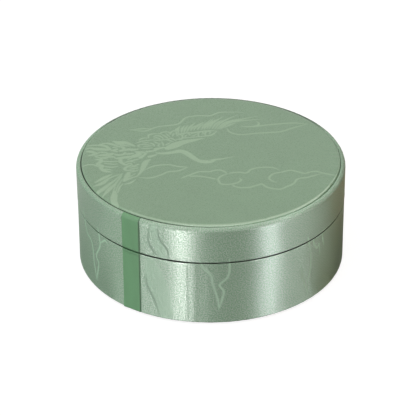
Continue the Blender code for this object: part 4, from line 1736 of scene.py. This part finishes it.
@dataclass
class Lid:
    """The lift-off lid: wall, padded disc and linings.

    Attributes:
        cloths: Its side silk and ribbon.
        rim_lift: How far the padding under its silk lifts the rim.
        groove_depth: How far that silk turns down beside the padded disc.
        turn_in: How far the silk turns up inside.
        pad_radius: Radius of the padded disc.
        pad_roll: How far out its rolled edge reaches.
        pad_drop: How far down.
        pad_crown: Rise of its middle over its edge.
        pad_rings: Rings of its mesh.
        pad_knots: Its strong single gathers, as in Puckers.
        lining: Thickness of the linings.
        seam_draw: How far the silk is drawn in at the seam.
    """

    cloths: SideCloths = field(
        default_factory=lambda: SideCloths(Body.LID, 5, top_round=0.0013, low_round=0.00025)
    )
    rim_lift: float = 0.00066
    groove_depth: float = 0.0016
    turn_in: float = 0.005
    pad_radius: float = 0.04812
    pad_roll: float = 0.0014
    pad_drop: float = 0.0009
    pad_crown: float = 0.00028
    pad_rings: int = 168
    pad_knots: tuple[Triple, ...] = (
        (21.0, 0.7, 0.00010), (24.0, 0.6, -0.00009), (26.4, 0.8, 0.00012), (-52.0, 0.8, 0.00006),
    )
    lining: float = 0.00035
    seam_draw: float = 0.00008

    def __post_init__(self) -> None:
        """Reads the solids' levels."""
        low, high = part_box("lid_side_silk")
        self.cloths.low, self.cloths.high = low.z + self.seam_draw, high.z + self.rim_lift
        low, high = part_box("pad_silk")
        self.pad_low, self.pad_high = low.z, high.z
        low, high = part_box("lid_wall_lining")
        self.lining_low, self.lining_high = low.z, high.z
        self.lining_radius = max(high.x, high.y)
        self.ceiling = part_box("lid_ceiling_satin")[0].z

    def side_path(self, radius: float) -> list[Point]:
        """Seen face of the side cloth: up out of the groove, over the rim, down, and up inside.

        Args:
            radius: Its outer radius.

        Returns:
            Its points (r, z).
        """
        e, groove = 0.00025, self.cloths.groove
        low, high = self.cloths.low, self.cloths.high
        inner = self.lining_radius - self.lining
        return [
            (groove, high - self.groove_depth),
            *arc((groove + e, high - e), e, 180.0, 90.0, 4),
            *self.cloths.corners(radius),
            (inner, low),
            (inner, low + self.turn_in),
        ]

    def side_cloths(self) -> None:
        """Lays the silk and the ribbon round the wall."""
        silk = self.cloths.silk("lid_wall_silk", self.side_path)
        place_piece(silk, Finish.FIGURED_SILK_WALL_PAINTED_LIGHTER, Body.LID, "lid_side_silk")
        ribbon = self.cloths.ribbon("lid_wall_ribbon", self.side_path)
        place_piece(ribbon, Finish.RIBBON, Body.LID, "lid_ribbon")

    def pad(self) -> None:
        """Draws the silk over the padded disc, and fills it."""
        edge_top = self.pad_high - self.pad_crown
        flat = self.pad_radius - self.pad_roll
        puckers = Puckers(11, 0.00004, self.pad_knots)
        figure = CraneAndClouds().figure()

        def top(r: Array) -> Array:
            """Height of the crowned top."""
            return edge_top + self.pad_crown * (1.0 - (r / flat) ** 2)

        def cover(x: Array, y: Array) -> Array:
            """The figure, and a painted highlight along the crest of the rolled edge at the front.

            Args:
                x: To the right.
                y: Away from the front.

            Returns:
                The cover, from 0 to 1.
            """
            reach = (np.hypot(x, y) - flat) / self.pad_roll
            turn = np.arctan2(x, -y)
            # Painted highlight on the crest, ragged with the gathers and only round the front.
            crest_highlight_strength = np.clip(1.0 + 5000.0 * puckers.along(turn), 0.4, 1.0)
            crest_highlight_strength *= ease(turn, -0.82, -0.58) * (1.0 - ease(turn, 1.05, 1.35))
            inner = 0.35 * np.abs(np.sin(turn)) - 0.10
            painted_crest_highlight = crest_highlight_strength * ease(reach, inner, inner + 0.15) * (1.0 - ease(reach, 0.60, 0.70))
            return np.maximum(figure.cover(x, y), painted_crest_highlight)

        def nudge(turn: Array, r: Array, z: Array) -> Moves:
            """Gathers at the edge, a soft top, and a fuller edge at the sides and behind.

            Args:
                turn: Azimuths.
                r: Radii.
                z: Heights.

            Returns:
                How far each place moves out and up.
            """
            near = ease(r, flat - 0.0035, flat + 0.0005)
            under = ease(z, self.pad_low + 0.0004, edge_top - 0.0006)
            gather = puckers.along(turn) * near * under
            soft = 0.00004 * np.sin(90.0 * r * np.cos(turn) + 1.0) * np.sin(75.0 * r * np.sin(turn))
            behind = 0.7 * ease(np.abs(np.angle(np.exp(1j * turn))), 1.05, 1.55)
            rolled = ease(z, edge_top - 1.2 * self.pad_drop, edge_top - self.pad_drop)
            fuller = behind * np.maximum(edge_top - z, 0.0) * rolled
            return 0.5 * gather, 0.8 * gather + soft * (1.0 - near) + fuller

        def dark(turn: Array, r: Array, z: Array) -> Array:
            """How far the rolled edge lies in the groove's shade."""
            head = edge_top - (0.36 - 0.32 * groove_shade_reach(turn)) * self.pad_drop
            return groove_shade(turn) * (1.0 - ease(z, edge_top - 0.62 * self.pad_drop, head))

        t = self.lining
        edge = [
            *roll_over((flat, edge_top), self.pad_roll, self.pad_drop, 10),
            (self.pad_radius, self.pad_low),
        ]
        back = [
            (0.0, edge_top - t),
            *roll_over((flat, edge_top - t), self.pad_roll - t, self.pad_drop - t, 4),
            (self.pad_radius - t, self.pad_low),
        ]
        disc = CoveredDisc(
            "lid_top_silk", flat, self.pad_rings, run(edge, 0.0005), back, top, nudge, cover, dark
        ).build()
        place_piece(disc, Finish.FIGURED_SILK_TOP_PAINTED_DARKER, Body.LID, "pad_silk")
        self.wadding(flat, edge_top - t - 0.00005, self.pad_radius - t - 0.00005)

    def wadding(self, flat: float, top: float, radius: float) -> None:
        """Fills the padded disc.

        Args:
            flat: Radius where its edge begins to roll.
            top: Height of its top.
            radius: Its outer radius.
        """
        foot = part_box("pad_foam")[0].z

        def level(r: Array) -> Array:
            """The same height everywhere."""
            return np.full_like(r, top)

        edge = [*roll_over((flat, top), radius - flat, self.pad_drop - 0.0004, 5), (radius, foot)]
        made = CoveredDisc("lid_wadding", flat, 24, edge, [(0.0, foot)], level).build()
        place_piece(made, Finish.WADDING, Body.LID, "pad_foam")

    def linings(self) -> None:
        """Lines the wall and the ceiling."""
        inner = self.lining_radius - self.lining
        wall = [(inner, self.lining_low), (inner, self.lining_high)]
        # The lining's body lies outside its seen face, so the path runs up.
        skin = TurnedSkin("lid_lining", run(wall, 0.0015), offset(wall, self.lining), inner, 240)
        made = skin.build()
        place_piece(made, Finish.LINING, Body.LID, "lid_wall_lining")
        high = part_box("lid_ceiling_satin")[1]
        reach, e = high.x, 0.0007
        gathers = Puckers(31, 0.00006)

        def nudge(turn: Array, r: Array, z: Array) -> Moves:
            """Gathers at the edge, and a sag between them.

            Args:
                turn: Azimuths.
                r: Radii.
                z: Heights, which don't matter here.

            Returns:
                How far each place moves out and up.
            """
            near = ease(r, reach - 0.006, reach - 0.001)
            x, y = r * np.sin(turn), r * np.cos(turn)
            sag = 0.00012 * np.sin(130.0 * y) * np.sin(110.0 * x + 2.0)
            drawn = 0.6 * np.abs(gathers.along(turn)) * near
            return np.zeros_like(turn), drawn + sag * (1.0 - near)

        face = [
            (reach, high.z),
            *arc((reach - e, self.ceiling + e), e, 0.0, -90.0, 5),
            (0.0002, self.ceiling),
        ]
        made = TurnedSkin(
            "lid_ceiling", run(face, 0.0018), offset(face, self.lining), reach, 240, nudge=nudge
        ).build()
        place_piece(made, Finish.LINING, Body.LID, "lid_ceiling_satin")

    def build(self, nodes: dict) -> None:
        """Builds and dresses the lid.

        Args:
            nodes: The frame's solids by name.
        """
        self.side_cloths()
        self.pad()
        self.linings()
        boards = ("lid_side_board", "lid_top_board", "lid_ceiling_board", "pad_board")
        keep_solids(nodes, boards, Finish.BOARD)


@dataclass
class Base:
    """The base: wall, floor, neck and paper underneath.

    Attributes:
        cloths: Its side silk and ribbon.
        under_turn: How far the silk turns in underneath.
        turn_in: How far it turns down inside.
        neck_thick: Thickness of the neck's board.
        glue: Room for the glue between board and satin.
        neck_round: Radius of the neck's top edges.
        lining: Thickness of the neck's satin.
        seam_draw: How far the silk is drawn in at the seam.
        rim_fall: How far its rim slopes down towards the neck.
    """

    cloths: SideCloths = field(
        default_factory=lambda: SideCloths(
            Body.BASE,
            6,
            top_round=0.00025,
            flare=0.00025,
            steps=((-9.9, 0.45, -0.00006), (-6.0, 1.1, -0.00011), (-2.05, 0.25, 0.00002)),
        )
    )
    under_turn: float = 0.008
    turn_in: float = 0.012
    neck_thick: float = 0.0014
    glue: float = 0.0003
    neck_round: float = 0.0007
    lining: float = 0.00035
    seam_draw: float = 0.00008
    rim_fall: float = 0.00034

    def __post_init__(self) -> None:
        """Reads the solids' levels."""
        low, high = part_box("base_side_silk")
        self.cloths.low, self.cloths.high = low.z, high.z - self.seam_draw
        self.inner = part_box("lid_wall_lining")[1].x - self.lining
        low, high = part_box("neck_satin")
        self.neck_low, self.neck_high = low.z, high.z
        self.neck_outer = high.x
        board_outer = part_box("neck_board")[1].x
        self.neck_inner = board_outer - self.neck_thick - self.glue - self.lining

    def side_path(self, radius: float) -> list[Point]:
        """Seen face of the side cloth: up inside, over the top edge, down and in underneath.

        Args:
            radius: Its outer radius.

        Returns:
            Its points (r, z).
        """
        e, high = 0.0003, self.cloths.high
        low_rim = high - self.rim_fall
        return [
            (self.inner, high - self.turn_in),
            *arc((self.inner + e, low_rim - e), e, 180.0, 90.0, 3),
            (self.inner + 0.0006, low_rim),
            *self.cloths.corners(radius),
            (radius - self.under_turn, self.cloths.low),
        ]

    def side_cloths(self) -> None:
        """Lays the silk and the ribbon round the wall."""
        silk = self.cloths.silk("base_wall_silk", self.side_path)
        place_piece(silk, Finish.FIGURED_SILK_WALL_PAINTED_LIGHTER, Body.BASE, "base_side_silk")
        ribbon = self.cloths.ribbon("base_wall_ribbon", self.side_path)
        place_piece(ribbon, Finish.RIBBON, Body.BASE, "base_ribbon")

    def neck(self) -> None:
        """Wraps the neck in satin."""
        e = self.neck_round
        face = [
            (self.neck_inner, self.neck_low),
            *arc((self.neck_inner + e, self.neck_high - e), e, 180.0, 90.0, 5),
            *arc((self.neck_outer - e, self.neck_high - e), e, 90.0, 0.0, 5),
            (self.neck_outer, self.neck_low),
        ]
        gathers = Puckers(41, 0.00003)

        def nudge(turn: Array, r: Array, z: Array) -> Moves:
            """Gathers along the top edge."""
            near = ease(z, self.neck_high - 0.004, self.neck_high - 0.0002)
            return np.zeros_like(turn), -np.abs(gathers.along(turn)) * near

        back = offset(face, self.lining)
        made = TurnedSkin(
            "neck_wrap", run(face, 0.0012), back, self.neck_outer, 300, nudge=nudge
        ).build()
        place_piece(made, Finish.LINING, Body.BASE, "neck_satin")

    def build(self, nodes: dict) -> None:
        """Builds and dresses the base.

        Args:
            nodes: The frame's solids by name.
        """
        self.side_cloths()
        self.neck()
        boards = ("base_floor_board", "base_side_board", "neck_board")
        keep_solids(nodes, boards, Finish.BOARD)
        keep_solids(nodes, ("base_bottom_cover",), Finish.COVER_PAPER)


@dataclass
class BangleCushion:
    """The velvet cushion with a groove for one bangle.

    Attributes:
        pile: Thickness of the velvet.
        ring_width: Width of the ring.
        ring_round: Radius of the ring's top edges.
        plug_round: Radius of the plug's top edge.
        plug_lean: How far the plug's wall leans in towards its top.
        plug_crown: Rise of the plug's middle over its edge.
    """

    pile: float = 0.0005
    ring_width: float = 0.00475
    ring_round: float = 0.0018
    plug_round: float = 0.0032
    plug_lean: float = 0.0004
    plug_crown: float = 0.0012

    def cover(
        self, name: str, face: list[Point], node: str, nudge: Nudge | None = None
    ) -> Object:
        """Makes one velvet cover.

        Args:
            name: The piece's name.
            face: Its seen face's section.
            node: The solid that it stands for.
            nudge: Its unevenness.

        Returns:
            The piece.
        """
        outer = max(r for r, _ in face)
        made = TurnedSkin(
            name, run(face, 0.0008), offset(face, self.pile), outer, 260, nudge=nudge
        ).build()
        return place_piece(made, Finish.VELVET, Body.BASE, node)

    def build(self, nodes: dict) -> None:
        """Builds and dresses the cushion.

        Args:
            nodes: The frame's solids by name.
        """
        low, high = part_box("ring_velvet")
        e = self.ring_round
        inner, outer = high.x - self.ring_width, high.x
        ring = [
            (inner, low.z),
            *arc((inner + e, high.z - e), e, 180.0, 90.0, 8),
            *arc((outer - e, high.z - e), e, 90.0, 0.0, 8),
            (outer, low.z),
        ]
        dimple = Puckers(51, 0.00006)

        def settle(turn: Array, r: Array, z: Array) -> Moves:
            """Dimples towards the top, but none at the axis."""
            near = ease(z, high.z - 0.004, high.z) * ease(r, 0.003, 0.014)
            return np.zeros_like(turn), -np.abs(dimple.along(turn)) * near

        self.cover("cushion_ring", ring, "ring_velvet", settle)
        low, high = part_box("plug_velvet")
        radius, e = high.x, self.plug_round
        top = radius - self.plug_lean
        edge_top = high.z - self.plug_crown
        shares = np.linspace(1.0, 0.004, 26)[1:]
        plug = [
            *[((top - e) * s, edge_top + self.plug_crown * (1.0 - s * s)) for s in shares[::-1]],
            *arc((top - e, edge_top - e), e, 90.0, 0.0, 10),
            (radius, low.z),
        ]
        self.cover("cushion_plug", plug, "plug_velvet", settle)
        low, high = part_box("bed_velvet")
        bed = [(0.0002, high.z), (high.x, high.z)]
        self.cover("groove_floor", bed, "bed_velvet")
        keep_solids(nodes, ("bed_foam", "ring_foam", "plug_foam"), Finish.WADDING)


# Studio

WHITE: Colour = (1.0, 1.0, 1.0)
ROSY: Colour = (1.0, 0.86, 0.97)
PALE: Colour = (1.0, 0.95, 0.96)
WARM: Colour = (1.0, 0.80, 0.42)
COOL: Colour = (0.97, 0.85, 1.0)
SPARED = ("lid_top_silk", "neck_wrap", "cushion_ring", "cushion_plug", "groove_floor")


@dataclass(frozen=True)
class SoftBox:
    """A lamp with a soft rectangular face, aimed at the box.

    Attributes:
        name: Its name.
        azimuth: Where it stands, in degrees from the front towards +X.
        elevation: How high it stands, in degrees.
        distance: How far from the box.
        size: Its width and height.
        glow: Radiance of its face.
        gloss_only: True if only glossy reflections show it.
        tint: Its colour.
        spares: Pieces that it leaves unlit.
    """

    name: str
    azimuth: float
    elevation: float
    distance: float
    size: Pair
    glow: float
    gloss_only: bool = False
    tint: Colour = WHITE
    spares: tuple[str, ...] = ()

    def build(self) -> None:
        """Makes the lamp."""
        a, e = math.radians(self.azimuth), math.radians(self.elevation)
        away = Vector((math.sin(a) * math.cos(e), -math.cos(a) * math.cos(e), math.sin(e)))
        data = bpy.data.lights.new(self.name, "AREA")
        data.shape = "RECTANGLE"
        data.size, data.size_y = self.size
        data.energy = self.glow * math.pi * self.size[0] * self.size[1]
        data.color = self.tint
        lamp = bpy.data.objects.new(self.name, data)
        lamp.location = Vector((0.0, 0.0, 0.022)) + away * self.distance
        lamp.rotation_mode = "QUATERNION"
        lamp.rotation_quaternion = (-away).to_track_quat("-Z", "Y")
        lamp.visible_diffuse = not self.gloss_only
        bpy.context.scene.collection.objects.link(lamp)
        if self.spares:
            spared = bpy.data.collections.new(self.name + "_spares")
            for piece in self.spares:
                spared.objects.link(bpy.data.objects[piece])
            for member in spared.collection_objects:
                member.light_linking.link_state = "EXCLUDE"
            lamp.light_linking.receiver_collection = spared


def dull_cloth(name: str, rows: list[Array], colour: Colour) -> Object:
    """Makes a dull cloth that belongs to the stage.

    Args:
        name: Its name.
        rows: Its points, with as many in each row.
        colour: Its colour.

    Returns:
        The linked object.
    """
    count, stops = len(rows), len(rows[0])
    quads = grid_quads(count - 1, stops - 1, count, stops)
    places, corners = np.concatenate(rows), quads.ravel()
    made = mesh_object(name, places, corners, np.full(len(quads), 4), places[corners][:, :2])
    s = Shader(name)
    s.shine(Base_Color=rgba(colour), Roughness=1.0, Specular_IOR_Level=0.0)
    wear(made, s.material)
    return made


@dataclass(frozen=True)
class DarkScreen:
    """A dark cloth screen beside the table, which shades one side of the box.

    Attributes:
        name: Its name.
        start: Azimuth of its first edge, in degrees.
        end: Azimuth of its other edge.
        distance: How far from the box.
        height: Its height.
        colour: Its colour.
        foot: Height of its lower edge.
    """

    name: str
    start: float
    end: float
    distance: float
    height: float
    colour: Colour
    foot: float = 0.002

    def build(self) -> None:
        """Makes the screen, which the camera doesn't see."""
        turns = np.radians(np.linspace(self.start, self.end, 13))
        rows = [about_axis(turns, self.distance, z) for z in (self.foot, self.height)]
        dull_cloth(self.name, rows, self.colour).visible_camera = False


@dataclass(frozen=True)
class DarkMat:
    """A dark mat on the floor beside the box, which only glossy reflections show.

    Its first edge follows the floor that one line down the wall mirrors to the front.

    Attributes:
        name: Its name.
        start: Azimuth of the line down the wall that mirrors its first edge, in degrees.
        end: The same for its other edge; 180 or -180 is straight behind.
        inner: Radius where it begins.
        outer: Radius where it ends.
        colour: Its colour.
        level: Its height over the floor.
    """

    name: str
    start: float
    end: float
    inner: float
    outer: float
    colour: Colour
    level: float = 0.0004

    def ring(self, radius: float) -> Array:
        """Points round the mat.

        Args:
            radius: Where they lie.

        Returns:
            One row (x, y, z) for each point.
        """
        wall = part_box("base_side_silk")[1].x
        lines = np.radians(np.linspace(self.start, self.end, 25))
        seen = np.clip(lines, -0.5 * math.pi, 0.5 * math.pi)
        out = np.sqrt(radius**2 - (wall * np.sin(seen)) ** 2) - wall * np.cos(seen)
        turns = seen + np.arctan2(out * np.sin(seen), wall + out * np.cos(seen))
        turns += (lines - seen) * (2.0 - 2.0 * np.abs(turns) / math.pi)
        return about_axis(turns, radius, self.level)

    def build(self) -> None:
        """Makes the mat."""
        rows = [self.ring(r) for r in np.linspace(self.outer, self.inner, 6)]
        made = dull_cloth(self.name, rows, self.colour)
        made.visible_camera = made.visible_diffuse = made.visible_shadow = False


@dataclass
class Studio:
    """Floor, world, lamps and camera.

    Attributes:
        screens: The dark screens.
        mats: The dark mats.
        lamps: The soft boxes.
        elevation: The camera's height over the horizon, in degrees.
        distance: From the camera to what it aims at.
        aim: What it aims at.
        roll: Its roll, in radians.
        lens: Its focal length in millimetres.
        sensor: Width of its sensor in millimetres.
        clips: How near and how far it sees.
        bright: The surround's light from the left.
        warm: Its light from the right.
        floor_half: Half the floor's width.
        floor_grey: How light the floor is.
        floor_glow: How bright it looks to the camera and to reflections.
    """

    screens: tuple[DarkScreen, ...] = (
        DarkScreen("screen_right", 100.0, 160.0, 0.95, 0.75, (0.120, 0.080, 0.050)),
        DarkScreen("screen_front", 3.0, 32.0, 0.95, 0.55, (0.030, 0.030, 0.028)),
    )
    mats: tuple[DarkMat, ...] = (
        DarkMat("mat_right_near", 48.0, 61.0, 0.0505, 0.080, (0.440, 0.350, 0.210)),
        DarkMat("mat_right_edge", 61.0, 180.0, 0.0505, 0.080, (0.030, 0.022, 0.008)),
        DarkMat("mat_right_far", 57.5, 180.0, 0.080, 0.60, (0.580, 0.420, 0.250)),
        DarkMat("mat_left_near", -180.0, -45.5, 0.0505, 0.076, (0.300, 0.335, 0.300)),
        DarkMat("mat_left_far", -180.0, -57.5, 0.076, 0.60, (0.850, 0.870, 0.850)),
    )
    lamps: tuple[SoftBox, ...] = (
        SoftBox("glint_left", -22.0, 10.0, 0.90, (0.10, 0.36), 114.5, True, ROSY, SPARED),
        SoftBox("gleam_left", -48.5, 10.0, 0.90, (0.23, 0.36), 14.8, True, ROSY, SPARED),
        SoftBox("gleam_far_left", -74.0, 10.0, 0.90, (0.46, 0.36), 3.4, True, PALE, SPARED),
        SoftBox("glint_right", 46.6, 10.0, 0.90, (0.095, 0.36), 97.5, True, COOL, SPARED),
        SoftBox("gleam_right", 71.0, 10.0, 0.90, (0.46, 0.36), 6.0, True, ROSY, SPARED),
        SoftBox("gleam_far_right", 108.0, 10.0, 0.90, (0.32, 0.36), 1.05, True, WARM, SPARED),
        SoftBox("glint_above", -20.0, 86.0, 0.80, (0.90, 0.40), 8.0, True),
        SoftBox("glint_behind", 118.0, 50.0, 0.90, (0.60, 0.36), 9.0, True),
        SoftBox("soft_top", -40.0, 70.0, 0.80, (0.50, 0.50), 1.0),
    )
    elevation: float = 30.83
    distance: float = 0.7975
    aim: Triple = (-0.00113, 0.0, 0.01928)
    roll: float = -0.0065
    lens: float = 183.25
    sensor: float = 36.0
    clips: Pair = (0.05, 20.0)
    bright: Colour = (0.98, 0.98, 0.98)
    warm: Colour = (0.25, 0.07, 0.0)
    floor_half: float = 3.0
    floor_grey: float = 0.24
    floor_glow: float = 0.88

    def world(self) -> None:
        """A soft surround, brighter to the left, that camera and reflections see as white."""
        world = bpy.data.worlds.new("surround")
        bpy.context.scene.world = world
        world.use_nodes = True
        s = Nodes(world.node_tree)
        s.tree.nodes.clear()
        place = s.add("ShaderNodeTexCoord").outputs["Generated"]
        across = s.add("ShaderNodeSeparateXYZ", {0: place}).outputs["X"]
        inputs = {"Value": across, "From Min": -0.3, "From Max": 1.0}
        side = s.add("ShaderNodeMapRange", inputs, interpolation_type="SMOOTHSTEP").outputs[0]
        tone = s.mix(side, rgba(self.bright), rgba(self.warm))
        soft = s.add("ShaderNodeBackground", {"Color": tone}).outputs[0]
        white = s.add("ShaderNodeBackground", {"Color": rgba(WHITE)}).outputs[0]
        mixed = s.add("ShaderNodeMixShader", {0: s.seen_white(), 1: soft, 2: white}).outputs[0]
        s.add("ShaderNodeOutputWorld", {"Surface": mixed})

    def floor(self) -> None:
        """A white sweep under the box that keeps its shadow."""
        square = [(-1.0, -1.0, 0.0), (1.0, -1.0, 0.0), (1.0, 1.0, 0.0), (-1.0, 1.0, 0.0)]
        places = self.floor_half * np.array(square)
        made = mesh_object("floor", places, np.arange(4), np.array([4]), places[:, :2])
        s = Shader("white_sweep")
        s.shine(
            Base_Color=rgba((self.floor_grey,) * 3),
            Roughness=1.0,
            Specular_IOR_Level=0.0,
            Emission_Color=rgba(WHITE),
            Emission_Strength=s.maths(Op.TIMES, s.seen_white(), self.floor_glow),
        )
        wear(made, s.material)

    def camera(self) -> None:
        """A long lens from the front, above the box."""
        e = math.radians(self.elevation)
        right, back = Vector((1.0, 0.0, 0.0)), Vector((0.0, -math.cos(e), math.sin(e)))
        up = back.cross(right)
        c, s = math.cos(self.roll), math.sin(self.roll)
        across, above = right * c + up * s, up * c - right * s
        data = bpy.data.cameras.new("camera")
        data.lens, data.sensor_width = self.lens, self.sensor
        data.clip_start, data.clip_end = self.clips
        made = bpy.data.objects.new("camera", data)
        turn = Matrix((across, above, back)).transposed().to_4x4()
        made.matrix_world = Matrix.Translation(Vector(self.aim) + back * self.distance) @ turn
        bpy.context.scene.collection.objects.link(made)
        bpy.context.scene.camera = made

    def build(self) -> None:
        """Sets up the studio."""
        bpy.context.scene.view_settings.view_transform = "Standard"
        self.world()
        self.floor()
        for item in (*self.screens, *self.mats, *self.lamps):
            item.build()
        self.camera()


def main() -> None:
    """Loads the frame, dresses each sub-assembly and sets up the studio."""
    logging.basicConfig(level=logging.INFO, format="%(name)s %(message)s")
    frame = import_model()
    Base().build(frame["nodes"])
    BangleCushion().build(frame["nodes"])
    Lid().build(frame["nodes"])
    Studio().build()


if __name__ == "__main__":
    main()
